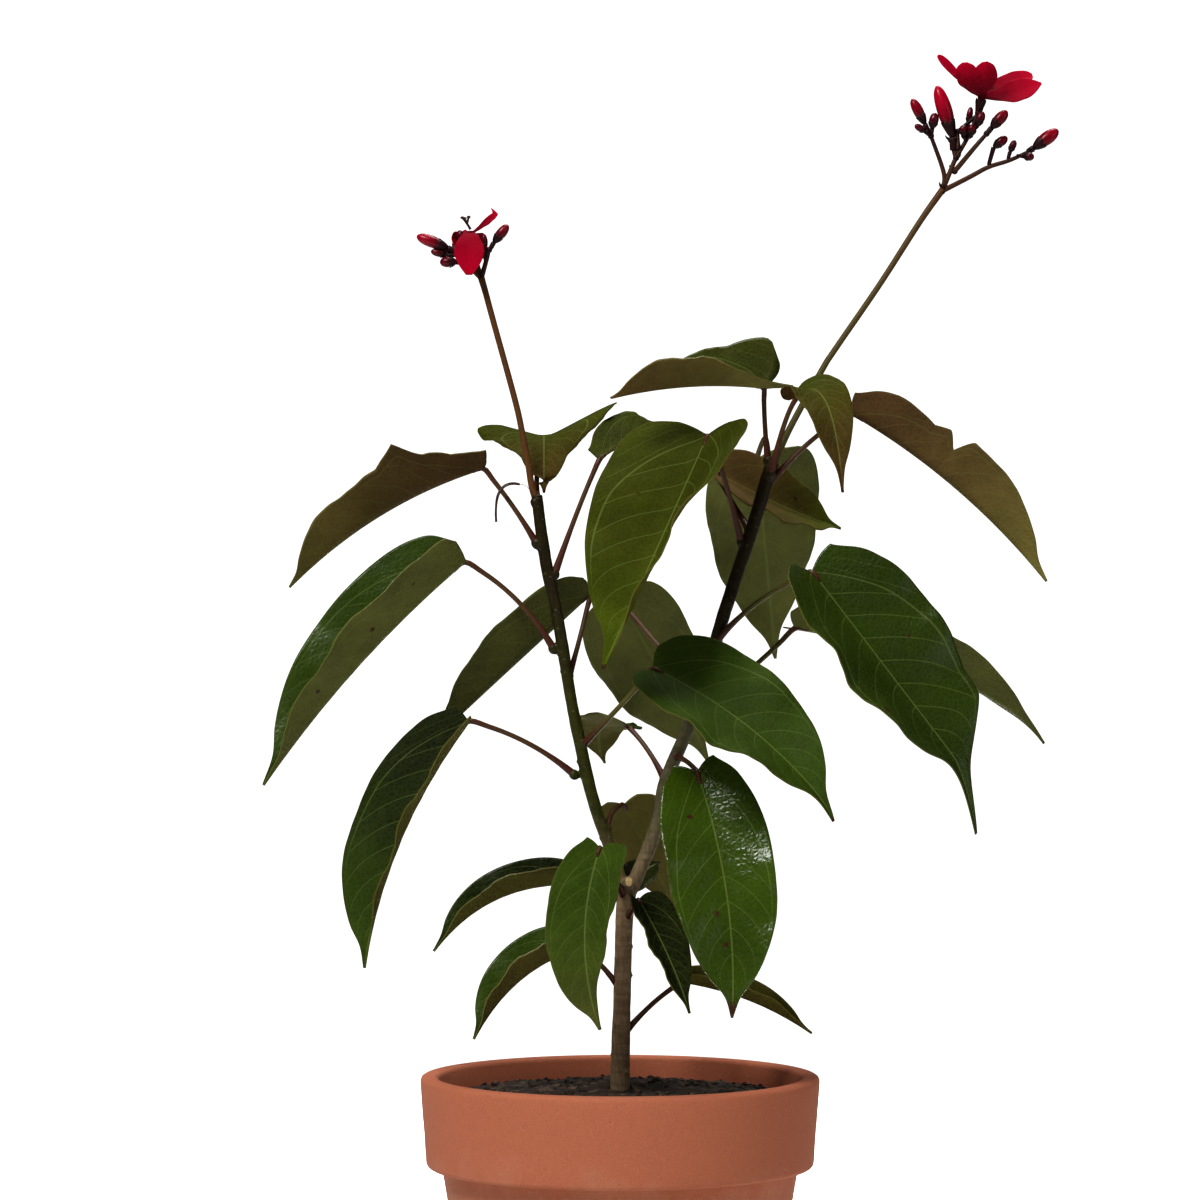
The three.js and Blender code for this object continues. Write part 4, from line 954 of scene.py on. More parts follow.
def leaf_piece(entry, finishes):
    """One leaf: its petiole and its veined blade."""
    foliage = settings("foliage")
    node, half, base = [seen(point) for point in entry["stalk"]]
    tip = seen(entry["tip"])
    control = (base + tip) / 2 + np.array(entry["arch"])
    width = entry["left"]["width"] + entry["right"]["width"]
    long = np.linalg.norm(tip - base)
    leaf = {
        **entry,
        "outline": LEAF_OUTLINE,
        "line": (base, control, tip),
        "faces": unit(np.array(entry["faces"], float)),
        "lobe": entry.get("lobe", BLADE["lobe"]) * long,
        "wave": BLADE["wave"] * width,
        "relief": foliage.relief / MM * min(1, width / 30),
        "rib": foliage.rib / MM * min(1, width / 25),
        "thickness": BLADE["thickness"],
        "widest": width / 2,
        "grain": BLADE_GRAIN,
        "veined": True,
    }
    leaf.setdefault("wax", 1 if entry["finish"] == "mature" else 0.3)
    shape = Shape()
    blade(shape, leaf, pair(foliage, entry["upper"]), pair(foliage, entry["under"]))
    seat = half_blade(leaf, np.array([0.0]), np.array([0.0]), 1)[1][0, 0] * -BLADE["thickness"]
    start = midrib(leaf, np.array([0.05]))[0][0]
    bow = 2 * half - (node + base) / 2
    t = np.linspace(0, 1, 7)[:, None]
    route = (1 - t) ** 2 * node + 2 * t * (1 - t) * bow + t**2 * (base + seat)
    points = np.vstack([route, start + seat])
    size = min(1, width / 12)
    radii = np.array([PETIOLE["foot"], 0.95, 0.78, PETIOLE["middle"], 0.74, 0.78, PETIOLE["top"], 0.5]) * size
    vertices, faces, at = tube(points, radii, 10, 1.5)
    ends = pair(foliage, entry.get("petiole", ("stalk", "bronze")))
    shape.add(vertices, faces, 2, tissue=between(ends, np.sin(np.pi * at) ** 2))
    piece = shape.make(entry["name"] + "_blade", finishes)
    return place(piece, "leaf_" + entry["finish"], entry["name"])


# Shoots


def stem_piece(finishes):
    """Trunk and branches in one grown piece, with the cushions that the leaf stalks stand on."""
    shape = Shape()
    for route in STEM:
        vertices, faces, _ = tube([seen(point) for point in route["path"]], route["radii"], 24, 1.2)
        shape.add(vertices, faces)
    draw = random.Random(11)
    for entry in LEAVES:
        node, half = (seen(point) for point in entry["stalk"][:2])
        cushion(shape, node + 0.8 * unit(half - node), BARK["cushion"], unit(half - node))
    for height in SCARS:
        scar(shape, height, draw)
    piece = shape.make("woody_stem_bark", finishes)
    remesh = piece.modifiers.new("Grown together", "REMESH")
    remesh.mode = "VOXEL"
    remesh.voxel_size = BARK["voxel"] * MM
    remesh.use_smooth_shade = True
    settle(piece)
    roughen(piece, 0.16, 3.5, 0.06, 0.9)
    return place(piece, "bark", "woody_stem")


def cushion(shape, centre, radius, ahead):
    """The swelling of the bark under a leaf stalk."""
    vertices, faces = globe(16, 10)
    rise = vertices @ ahead
    shape.add(centre + vertices * radius + rise[:, None] * ahead * 0.15 * radius, faces)


def scar(shape, height, draw):
    """A half-moon scar where an old leaf fell."""
    route = [route for route in STEM[:3] if route["path"][0][1] <= height <= route["path"][-1][1]]
    if not route:
        return
    route = draw.choice(route)
    path = np.array(route["path"], float)
    x = np.interp(height, path[:, 1], path[:, 0])
    out = np.interp(height, path[:, 1], route["radii"]) - 0.8
    turn = draw.uniform(0, 2 * math.pi)
    centre = seen([x, height, 0]) + out * np.array([math.cos(turn), math.sin(turn), 0])
    vertices, faces = globe(12, 8)
    shape.add(centre + vertices * np.array(BARK["scar"]), faces)


def globe(turns, rows):
    """A round body of radius 1."""
    polar = np.linspace(0, np.pi, rows + 1)[1:-1, None]
    turn = turn_of(turns)[None, :]
    ring = np.stack(
        [np.sin(polar) * np.cos(turn), np.sin(polar) * np.sin(turn), np.cos(polar) + 0 * turn], axis=2
    ).reshape(-1, 3)
    vertices = np.vstack([ring, [[0, 0, 1], [0, 0, -1]]])
    faces = [face[::-1] for face in sheet_faces(rows - 1, turns, closed=True)]
    top, bottom, last = len(ring), len(ring) + 1, (rows - 2) * turns
    faces += [[top, j, (j + 1) % turns] for j in range(turns)]
    faces += [[bottom, last + (j + 1) % turns, last + j] for j in range(turns)]
    return vertices, faces


def roughen(piece, *waves):
    """Moves a piece's surface in and out by noise: pairs of a depth and a grain, in millimetres."""
    mesh = piece.data
    places = np.empty(len(mesh.vertices) * 3, np.float32)
    normals = np.empty(len(mesh.vertices) * 3, np.float32)
    mesh.vertices.foreach_get("co", places)
    mesh.vertex_normals.foreach_get("vector", normals)
    spots = (places / MM).reshape(-1, 3)
    move = np.zeros(len(spots))
    for depth, grain in zip(waves[::2], waves[1::2]):
        stretch = np.array([1, 1, 0.45]) / grain
        move += depth * np.array([noise.noise(spot * stretch) for spot in spots])
    moved = spots + normals.reshape(-1, 3) * move[:, None]
    mesh.vertices.foreach_set("co", (moved * MM).astype(np.float32).ravel())
    mesh.update()


def stub_piece(finishes):
    """The pale wood where the third branch was cut off."""
    path = [seen(point) for point in STEM[3]["path"]]
    ahead = unit(path[2] - path[1])
    side = unit(np.cross(ahead, [0, 0, 1]))
    other = np.cross(side, ahead)
    shape = Shape()
    turns, rings = STUB["turns"], STUB["rings"]
    angle = turn_of(turns)
    oval = (1 + 0.04 * np.sin(3 * angle)) * (0.72 + 0.28 * np.sin(angle) ** 2)
    rows = []
    for share in np.arange(rings + 1) / rings:
        reach = STUB["radius"] * share * oval
        lift = 0.28 - 0.12 * share**3 + 0.05 * np.sin(5 * angle) * share
        rows.append(path[2] + ahead * lift[:, None] + reach[:, None] * around(angle, side, other))
    back = rows[-1] - ahead * STUB["edge"]
    grid = np.vstack(rows[1:] + [back])
    faces = sheet_faces(rings + 1, turns, closed=True)
    centre = len(grid)
    faces += [[centre, (j + 1) % turns, j] for j in range(turns)]
    faces.append([rings * turns + j for j in range(turns)])
    shape.add(np.vstack([grid, rows[0][:1]]), faces)
    piece = shape.make("stub_cut_face", finishes)
    return place(piece, "bark", "woody_stem")


def flower_stalk_piece(entry, finishes):
    """Flower stalk, twigs and calyces of one cluster."""
    shoots = settings("shoots")
    right = entry["name"].endswith("right")
    main = tuple(shoots.stalk_olive if right else shoots.stalk_brown)
    twig = tuple(shoots.twig)
    shape = Shape()

    def stalk(points, radii, base, end, sides=14):
        vertices, faces, at = tube([seen(point) for point in points], radii, sides, 0.8)
        shape.add(vertices, faces, 0, tissue=between((base, end), at**2))

    path = entry["stalk"]
    upper = tuple(0.75 * a + 0.25 * b for a, b in zip(shoots.stalk_brown, twig))
    stalk(path, [SHOOT["stalk"] * swell for swell in STALK_SWELL], main, upper, 18)
    joints = [path[0], path[-1]]
    middle = tuple(0.45 * a + 0.55 * b for a, b in zip(shoots.stalk_brown, twig))
    for route in entry["twigs"]:
        stalk(route, [SHOOT["twig"], SHOOT["twig_end"]], middle, twig)
        joints += [route[0], route[-1]]
    flowers = [*entry["buds"], {**entry["calyx"], "from": entry["twigs"][-1][-1], "open": True}]
    for flower in flowers:
        stout = max(SHOOT["pedicel"], 0.45 * flower["radius"])
        stalk([flower["from"], flower["base"]], [stout * 0.9, stout * 1.1], twig, twig, 10)
        calyx_cup(shape, flower, twig)
    vertices, faces = globe(12, 8)
    for joint in joints:
        shape.add(seen(joint) + vertices * 0.98, faces, 0, tissue=np.tile(twig, (len(vertices), 1)))
    draw = random.Random(5 if right else 6)
    for joint in joints[1:]:
        bract(shape, seen(joint), draw, twig)
    piece = shape.make(entry["name"] + "_skin", finishes)
    return place(piece, "flower_stalk", entry["name"])


def axis_of(ahead):
    """Two directions across a direction."""
    side = unit(np.cross(ahead, [0.31, 0.9, 0.3]))
    return side, np.cross(ahead, side)


def calyx_cup(shape, flower, tint):
    """The five-lobed cup that a bud or a corolla stands in."""
    base, tip = seen(flower["base"]), seen(flower["tip"])
    ahead = unit(tip - base)
    side, other = axis_of(ahead)
    turns = CALYX["turns"]
    angle = turn_of(turns)
    lobes = np.abs(np.cos(2.5 * angle))
    radius = flower["radius"]
    whole = np.linalg.norm(tip - base)
    long = whole + 1 if flower.get("open") else 0.26 * whole + 0.5 * radius
    swell = [[0, 0.45], [0.5, 0.75], [1, 1.15]] if flower.get("open") else BUD
    rings = []
    for share, lift in CALYX["wall"]:
        reach = long * share * (1 - CALYX["lobes"] + CALYX["lobes"] * lobes)
        rings.append((reach, radius * along(swell, reach / whole) + lift))
    ways = around(angle, side, other)
    grid = [base + ahead * reach[:, None] + out[:, None] * ways for reach, out in rings]
    faces = sheet_faces(len(rings), turns, closed=True)
    faces.append(list(range(turns))[::-1])
    faces.append([(len(rings) - 1) * turns + j for j in range(turns)])
    shape.add(np.vstack(grid), faces, 0, tissue=np.tile(tint, (turns * len(rings), 1)))


def bract(shape, joint, draw, tint):
    """A scale leaf, 2 mm long, beside a joint of the cluster."""
    turn = draw.uniform(0, 2 * math.pi)
    away = np.array([math.cos(turn), math.sin(turn) * 0.8, draw.uniform(0.3, 1)])
    points = [joint, joint + away * 1.1, joint + away * 1.8 + [0, 0, 0.6]]
    vertices, faces, _ = tube(points, [0.5, 0.42, 0.1], 6, 0.4)
    shape.add(vertices, faces, 0, tissue=np.tile(tint, (len(vertices), 1)))


def bud_piece(entry, finishes):
    """The closed buds of one cluster, each a cone of five rolled petals."""
    bloom, twig = settings("bloom"), tuple(settings("shoots").twig)
    shape = Shape()
    turns, rows = 40, 26
    angle = turn_of(turns)[None, :]
    share = np.linspace(0, 1, rows)[:, None]
    for flower in entry["buds"]:
        base, tip = seen(flower["base"]), seen(flower["tip"])
        ahead = unit(tip - base)
        side, other = axis_of(ahead)
        long = np.linalg.norm(tip - base)
        turned = (5 * angle / (2 * np.pi) + 1.1 * share) % 1
        overlap = 1 - 0.09 * np.exp(-turned / 0.1) - 0.05 * turned
        out = flower["radius"] * along(BUD, share) * overlap
        reach = long * share + 0 * angle
        grid = base + ahead * reach[..., None] + out[..., None] * around(angle[0], side, other)
        faces = sheet_faces(rows, turns, closed=True)
        faces.append(list(range(turns))[::-1])
        faces.append([(rows - 1) * turns + j for j in range(turns)])
        ripe = min(1, max(0, (long - 4) / 8))
        low = [a + (b - a) * ripe * 0.4 for a, b in zip(twig, bloom.blood)]
        high = [a + (b - a) * ripe for a, b in zip(bloom.blood, bloom.crimson)]
        high = [b * (0.55 + 0.35 * ripe) for b in high]
        rise = np.clip((share + 0 * angle - 0.2) / 0.55, 0, 1).reshape(-1, 1)
        shape.add(grid, faces, 0, tissue=between((low, high), rise))
    piece = shape.make(entry["name"].replace("flower_stalk", "buds"), finishes)
    return place(piece, "petal", entry["name"])


def corolla_piece(entry, finishes):
    """The open flower: five petals that part from a short tube."""
    bloom = settings("bloom")
    shape = Shape()
    foot, mouth = (seen(point) for point in entry["throat"])
    claw, face = tuple(bloom.blood), tuple(bloom.crimson)
    for petal in entry["petals"]:
        tip = seen(petal["tip"])
        start = (foot + mouth) / 2 + unit(tip - mouth) * FLOWER["claw"]
        half = {"width": petal["width"] / 2, "fold": [petal["fold"]], "skew": petal.get("skew", 1)}
        leaf = {
            "outline": petal.get("outline", PETAL_OUTLINE),
            "spikes": petal.get("spikes", []),
            "line": (start, (start + tip) / 2 + np.array(petal["arch"]), tip),
            "faces": unit(np.array(petal["faces"], float)),
            "left": half,
            "right": half,
            "lobe": 0,
            "wave": FLOWER["wave"] * petal["width"],
            "relief": FLOWER["relief"],
            "rib": 0,
            "thickness": PETAL_THICKNESS,
            "widest": petal["width"] / 2,
            "grain": PETAL_GRAIN,
            "veined": False,
        }
        blade(shape, leaf, (claw, face), (claw, face), (0, 0))
    low = seen(entry["calyx"]["base"]) * 0.6 + foot * 0.4
    vertices, faces, _ = tube([low, foot, (foot + mouth) / 2, mouth], FLOWER["throat"], 20, 0.4)
    shape.add(vertices, faces, 0, tissue=np.tile(claw, (len(vertices), 1)))
    name = entry["name"].replace("flower_stalk", "corolla")
    piece = shape.make(name + "_petals", finishes)
    return place(piece, "petal", name)


def stamen_piece(entry, finishes):
    """Filaments with their anthers."""
    shape = Shape()
    long = entry["anther"]
    for path in entry["stamens"]:
        points = [seen(point) for point in path]
        vertices, faces, _ = tube(points, [FLOWER["filament"], FLOWER["filament"] * 0.8], 10, 0.25)
        shape.add(vertices, faces, 0)
    for path in entry["stamens"]:
        vertices, faces = globe(18, 12)
        groove = 1 - 0.22 * np.exp(-((vertices[:, 0] / 0.25) ** 2)) * (vertices[:, 1] < 0)
        body = vertices * np.array([0.62, 0.45, long / 0.55 * 0.6]) * groove[:, None]
        shape.add(seen(path[-1]) + body, faces, 1)
    name = entry["name"].replace("flower_stalk", "stamens")
    piece = shape.make(name + "_pollen", finishes)
    return place(piece, "stamen", name)


# Pot and soil


def inside_radius(z):
    """Radius of the pot's inner wall at a height."""
    rise = (z - POT["floor"]) / (POT["height"] - POT["floor"])
    return POT["floor_radius"] + (POT["mouth_radius"] - POT["floor_radius"]) * rise


def pot_profile():
    """Radius and height along the pot's section, with each edge rounded in four steps."""
    e, foot, height = POT["edge"], POT["foot_radius"], POT["height"]
    collar = height - POT["collar_height"]
    corners = [
        [foot, 0, e],
        [POT["shoulder_radius"], collar - 0.1, 0.6],
        [POT["collar_radius"], collar - 0.1, e],
        [POT["rim_radius"], height, e * 1.3],
        [inside_radius(height), height, e],
        [inside_radius(POT["floor"]), POT["floor"], e],
    ]
    line = [[0, 0], [foot * 0.4, 0], *corners, [foot * 0.4, POT["floor"]], [0, POT["floor"]]]
    points = [line[0][:2], line[1][:2]]
    for before, here, after in zip(line[1:], corners, line[3:]):
        corner, radius = np.array(here[:2], float), here[2]
        back = corner + radius * unit(np.array(before[:2], float) - corner)
        ahead = corner + radius * unit(np.array(after[:2], float) - corner)
        for t in (0, 0.25, 0.5, 0.75, 1):
            points.append(list((1 - t) ** 2 * back + 2 * t * (1 - t) * corner + t**2 * ahead))
    return points + [line[-2][:2], line[-1][:2]]


def pot_piece(finishes):
    """The pot: a section turned round its axis, with round holes through its floor."""
    wobble = settings("pot").wobble / MM
    points = []
    profile = pot_profile()
    for (r0, z0), (r1, z1) in zip(profile, profile[1:]):
        steps = max(1, int(math.hypot(r1 - r0, z1 - z0) / 4))
        points += [[r0 + (r1 - r0) * i / steps, z0 + (z1 - z0) * i / steps] for i in range(steps)]
    points = np.array(points[1:], float)
    turns = POT["turns"]
    angle = turn_of(turns)
    rings = []
    for radius, z in points:
        off = [noise.noise(Vector((math.cos(a), math.sin(a), z / 9)) * 1.3) for a in angle]
        out = radius + wobble * np.array(off) * min(1, radius / 30) * (0 < z < POT["height"])
        rings.append(np.stack([out * np.cos(angle), out * np.sin(angle), np.full(turns, z)], axis=1))
    rows = len(rings)
    shape = Shape()
    faces = sheet_faces(rows, turns, closed=True)
    bottom, top = rows * turns, rows * turns + 1
    faces += [[bottom, (j + 1) % turns, j] for j in range(turns)]
    faces += [[top, (rows - 1) * turns + j, (rows - 1) * turns + (j + 1) % turns] for j in range(turns)]
    shape.add(np.vstack([*rings, [[0, 0, 0], [0, 0, POT["floor"]]]]), faces)
    piece = shape.make("pot_fired_wall", finishes)
    drills, sides = Shape(), 40
    for i in range(POT["drains"]):
        turn = math.radians(45 + 90 * i)
        centre = np.array([math.cos(turn), math.sin(turn), 0]) * POT["drain_ring"]
        ring = around(turn_of(sides), np.array([1, 0, 0]), np.array([0, 1, 0])) * POT["drain_radius"]
        grid = np.vstack([centre + ring - [0, 0, 3], centre + ring + [0, 0, POT["floor"] + 3]])
        walls = sheet_faces(2, sides, closed=True)
        drills.add(grid, walls + [list(range(sides))[::-1], list(range(sides, 2 * sides))])
    tool = drills.make("drain_drills", finishes)
    bore = piece.modifiers.new("Drain holes", "BOOLEAN")
    bore.operation = "DIFFERENCE"
    bore.solver = "EXACT"
    bore.object = tool
    settle(piece)
    bpy.data.objects.remove(tool)
    smooth_by_angle(piece, 40)
    return place(piece, "terracotta", "pot")


def smooth_by_angle(piece, degrees):
    """Smooth faces, with each edge that turns more than an angle kept sharp."""
    mesh = piece.data
    mesh.polygons.foreach_set("use_smooth", [True] * len(mesh.polygons))
    mesh.set_sharp_from_angle(angle=math.radians(degrees))


def soil_level(share):
    """Height of the smooth heap, at a share of the way from the hole to the rim."""
    return SOIL["crown"] + (SOIL["edge"] - SOIL["crown"]) * share**2


def lump(x, y):
    """How far a clod lifts the soil at a place."""
    return noise.fractal(Vector((x, y, 3)) / 7, 0.8, 2.2, 4) * 1.1 - 0.5


def soil_piece(finishes):
    """The potting soil, heaped a little towards the trunk, with its crumbs."""
    rows, turns = SOIL["rows"], SOIL["turns"]
    rim = inside_radius(SOIL["edge"]) - SOIL["gap"]
    angle = turn_of(turns)
    rings = []
    for i in range(rows + 1):
        share = i / rows
        radius = SOIL["hole"] + (rim - SOIL["hole"]) * share
        ring = []
        for a in angle:
            x, y = radius * math.cos(a), radius * math.sin(a)
            lift = (lump(x, y) if i else -1.5) * min(1, (rows - i + 2) / 6)
            ring.append([x, y, soil_level(share) + lift])
        rings.append(ring)
    low = POT["floor"] + 0.4
    foot = inside_radius(low) - SOIL["gap"]
    for radius, level in ((rim - 0.3, SOIL["edge"] - 4), (foot, low), (SOIL["hole"], low)):
        x, y = radius * np.cos(angle), radius * np.sin(angle)
        rings.append(np.stack([x, y, np.full(turns, level)], axis=1))
    shape = Shape()
    grid = np.vstack(rings)
    faces = sheet_faces(len(rings), turns, closed=True)
    last = (len(rings) - 1) * turns
    faces += [[last + j, last + (j + 1) % turns, (j + 1) % turns, j] for j in range(turns)]
    shape.add(grid, [face[::-1] for face in faces])
    draw = random.Random(21)
    body, body_faces = globe(7, 5)
    for _ in range(SOIL["crumbs"]):
        turn, reach = draw.uniform(0, 2 * math.pi), math.sqrt(draw.uniform(0.01, 0.97))
        radius = SOIL["hole"] + 1 + (rim - SOIL["hole"] - 2.2) * reach
        x, y = radius * math.cos(turn), radius * math.sin(turn)
        share = (radius - SOIL["hole"]) / (rim - SOIL["hole"])
        level = soil_level(share) + lump(x, y)
        size = 0.35 + 0.95 * draw.random() ** 3
        offset = Vector((draw.random(), draw.random(), draw.random())) * 9
        bumps = np.array([1 + 0.5 * noise.noise(Vector(v) * 1.4 + offset) for v in body])
        squash = np.array([draw.uniform(0.7, 1.4), draw.uniform(0.6, 1), draw.uniform(0.45, 0.8)])
        spin = np.array(Matrix.Rotation(draw.uniform(0, 6.3), 3, "Z"))
        crumb = (body * bumps[:, None] * squash * size) @ spin.T
        shape.add(crumb + [x, y, level + size * 0.2], body_faces, 0, flat=True)
    piece = shape.make("potting_soil", finishes)
    return place(piece, "soil", "soil")


# Materials


def add(tree, kind, inputs=None, **attributes):
    """Adds a node of a kind with its settings. inputs gives a value or a link for each socket."""
    item = tree.nodes.new(kind)
    for name, value in attributes.items():
        setattr(item, name, value)
    for socket, value in (inputs or {}).items():
        if isinstance(value, bpy.types.NodeSocket):
            tree.links.new(value, item.inputs[socket])
        else:
            item.inputs[socket].default_value = value
    return item


def material(name, **uniform):
    """A material, its nodes, its shader with the values that are the same all over, and the place shaded."""
    finish = bpy.data.materials.new(name)
    finish.use_nodes = True
    tree = finish.node_tree
    shader = tree.nodes["Principled BSDF"]
    for socket, value in uniform.items():
        shader.inputs[socket.replace("_", " ")].default_value = value
    return finish, tree, shader, add(tree, "ShaderNodeTexCoord").outputs["Object"]


def wear(tree, shader, **patterns):
    """Lets patterns drive the sockets of the shader."""
    for socket, pattern in patterns.items():
        tree.links.new(pattern, shader.inputs[socket.replace("_", " ")])


def four(rgb):
    """A colour with its alpha."""
    return (*rgb, 1)


def shaded(tree, tint, pattern, dark, light, low=0.3, high=0.7):
    """A tint that a pattern darkens where it is low and lightens where it is high."""
    shade = add(tree, "ShaderNodeMapRange", {"Value": pattern, 1: low, 2: high, 3: dark, 4: light})
    inputs = {0: 1.0, 6: tint, 7: shade.outputs[0]}
    return add(tree, "ShaderNodeMix", inputs, data_type="RGBA", blend_type="MULTIPLY").outputs[2]


def leaf_cuticle():
    """Upper face: a leaf's skin under its own wax, the gloss broken up by fine puckers."""
    # Patches 20 mm wide hold more or less chlorophyll. The wax gives sharp but weak highlights: its IOR is
    # 1.45, and 1.34 keeps them as weak as the photograph shows them.
    patches = {"Scale": 50, "Detail": 4, "Roughness": 0.6}
    return leaf_skin("waxy_leaf_cuticle", 1.34, patches, (0.72, 1.22), 0.14, 0.34, (0.24, 0.36))


def leaf_underside():
    """Underside: matt skin without wax over raised veins, greyer for its breathing pores."""
    # Without wax the surface scatters light, so the underside has a broad, dull sheen. Patches of 14 mm
    patches = {"Scale": 70, "Detail": 5, "Roughness": 0.65}
    return leaf_skin("matt_leaf_underside", 1.3, patches, (0.8, 1.15), 0.35, 0.2, (0.6, 0.75))


def leaf_skin(name, ior, patches, shades, midrib, vein_share, rough):
    """One face of a leaf, from the fields that its mesh paints. midrib is half its width, in millimetres."""
    foliage = settings("foliage")
    finish, tree, shader, place_of = material(name, IOR=ior)
    tissue = add(tree, "ShaderNodeAttribute", attribute_name="tissue").outputs["Color"]
    names = ("side_vein", "outer_vein", "basal_vein", "midrib_mm", "margin_mm", "blemish", "wax")
    field = {n: add(tree, "ShaderNodeAttribute", attribute_name=n).outputs["Fac"] for n in names}
    patchy = add(tree, "ShaderNodeTexNoise", {"Vector": place_of, **patches}).outputs["Fac"]
    mottled = shaded(tree, tissue, patchy, *shades)
    # The net of the finest veins has meshes of about 1.5 mm.
    net = add(tree, "ShaderNodeTexVoronoi", {"Vector": place_of, "Scale": 650}, feature="DISTANCE_TO_EDGE")
    reach = net.outputs["Distance"]
    thread = add(tree, "ShaderNodeMapRange", {"Value": reach, 1: 0.02, 2: 0.16, 3: 0.04, 4: 0}).outputs[0]
    veins = vein_lines(tree, field, midrib)
    lines = add(tree, "ShaderNodeMath", {0: veins, 1: vein_share}, operation="MULTIPLY").outputs[0]
    lines = add(tree, "ShaderNodeMath", {0: lines, 1: thread}, operation="MAXIMUM").outputs[0]
    # The thin margin of a blade is dry and pale, 0.2 mm wide.
    margin = {"Value": field["margin_mm"], 1: 0.02, 2: 0.22, 3: 0.35, 4: 0}
    edge = add(tree, "ShaderNodeMapRange", margin).outputs[0]
    # Dry spots have ragged edges, 0.5 mm deep.
    ragged = add(tree, "ShaderNodeTexNoise", {"Vector": place_of, "Scale": 1600, "Detail": 3}).outputs["Fac"]
    dry = add(tree, "ShaderNodeMath", {0: field["blemish"], 1: ragged}, operation="MULTIPLY").outputs[0]
    dry = add(tree, "ShaderNodeMapRange", {"Value": dry, 1: 0.2, 2: 0.42, 3: 0, 4: 0.9}).outputs[0]
    tint = mottled
    for share, paint in ((lines, foliage.vein), (edge, foliage.margin), (dry, foliage.blemish)):
        tint = add(tree, "ShaderNodeMix", {0: share, 6: tint, 7: four(paint)}, data_type="RGBA").outputs[2]
    # Wax makes the face glossy. Where it has worn off, the highlight is wide and weak.
    grain = add(tree, "ShaderNodeTexNoise", {"Vector": place_of, "Scale": 900, "Detail": 3}).outputs["Fac"]
    even = {"Value": grain, 1: 0.3, 2: 0.7, 3: rough[0], 4: rough[1]}
    even = add(tree, "ShaderNodeMapRange", even).outputs[0]
    worn = {"Value": field["wax"], 1: -1.5, 2: 1.3, 3: 0.586, 4: -0.06}
    worn = add(tree, "ShaderNodeMapRange", worn).outputs[0]
    dull = add(tree, "ShaderNodeMath", {0: even, 1: worn}, operation="ADD").outputs[0]
    mirror = {"Value": field["wax"], 1: -1.2, 2: 0.6, 3: 0.12, 4: 0.5}
    mirror = add(tree, "ShaderNodeMapRange", mirror).outputs[0]
    # The skin swells between the threads of the net, so the gloss breaks into small flecks.
    swell = {"Value": reach, 1: 0, 2: 0.45, 3: 0, 4: 1}
    swell = add(tree, "ShaderNodeMapRange", swell, interpolation_type="SMOOTHSTEP").outputs[0]
    fine = add(tree, "ShaderNodeMath", {0: swell, 1: 0.4}, operation="MULTIPLY").outputs[0]
    # Broader puckers, 3 mm apart
    dimple = {"Vector": place_of, "Scale": 330, "Detail": 2, "Roughness": 0.4}
    dimple = add(tree, "ShaderNodeTexNoise", dimple).outputs["Fac"]
    height = add(tree, "ShaderNodeMath", {0: dimple, 1: fine}, operation="ADD").outputs[0]
    bump = add(tree, "ShaderNodeBump", {"Strength": 0.4, "Distance": 0.4 * MM, "Height": height})
    wear(tree, shader, Base_Color=tint, Roughness=dull, Specular_IOR_Level=mirror, Normal=bump.outputs[0])
    return finish


def vein_lines(tree, field, midrib):
    """How much of a vein lies at a place, from the fields of the blade. midrib is half its width, in mm."""
    basal = field["basal_vein"]
    inside = add(tree, "ShaderNodeMath", {0: basal, 1: 0.0}, operation="GREATER_THAN").outputs[0]
    outside = add(tree, "ShaderNodeMath", {0: 1.0, 1: inside}, operation="SUBTRACT").outputs[0]
    away = add(tree, "ShaderNodeMath", {0: basal, 1: 0.0}, operation="ABSOLUTE").outputs[0]
    # The midrib, the basal pair, the side veins between that pair, and the outer veins beyond it. Each is a
    # line that fades from its first distance to its second, with a strength, in its own part of the blade.
    drawn = [(field["midrib_mm"], midrib, midrib + 0.2, 1.0, None), (away, 0.004, 0.02, 0.8, None)]
    families = (("side_vein", 0.032, 0.7, inside), ("outer_vein", 0.035, 0.5, outside))
    for name, thick, strength, part in families:
        fold = add(tree, "ShaderNodeMath", {0: field[name], 1: 0.5}, operation="PINGPONG").outputs[0]
        drawn.append((fold, 0.008, thick, strength, part))
    # Veins thin out towards the edge, where they loop into one another.
    drawn.append((field["margin_mm"], 0.3, 2.5, 1.0, None))
    shown = []
    for value, thin, thick, strength, part in drawn:
        fade = {"Value": value, 1: thin, 2: thick, 3: strength, 4: 0}
        line = add(tree, "ShaderNodeMapRange", fade, interpolation_type="SMOOTHSTEP").outputs[0]
        if part:
            line = add(tree, "ShaderNodeMath", {0: line, 1: part}, operation="MULTIPLY").outputs[0]
        shown.append(line)
    lines = shown[0]
    for line in shown[1:-1]:
        lines = add(tree, "ShaderNodeMath", {0: lines, 1: line}, operation="MAXIMUM").outputs[0]
    kept = add(tree, "ShaderNodeMath", {0: 1.0, 1: shown[-1]}, operation="SUBTRACT").outputs[0]
    return add(tree, "ShaderNodeMath", {0: lines, 1: kept}, operation="MULTIPLY").outputs[0]


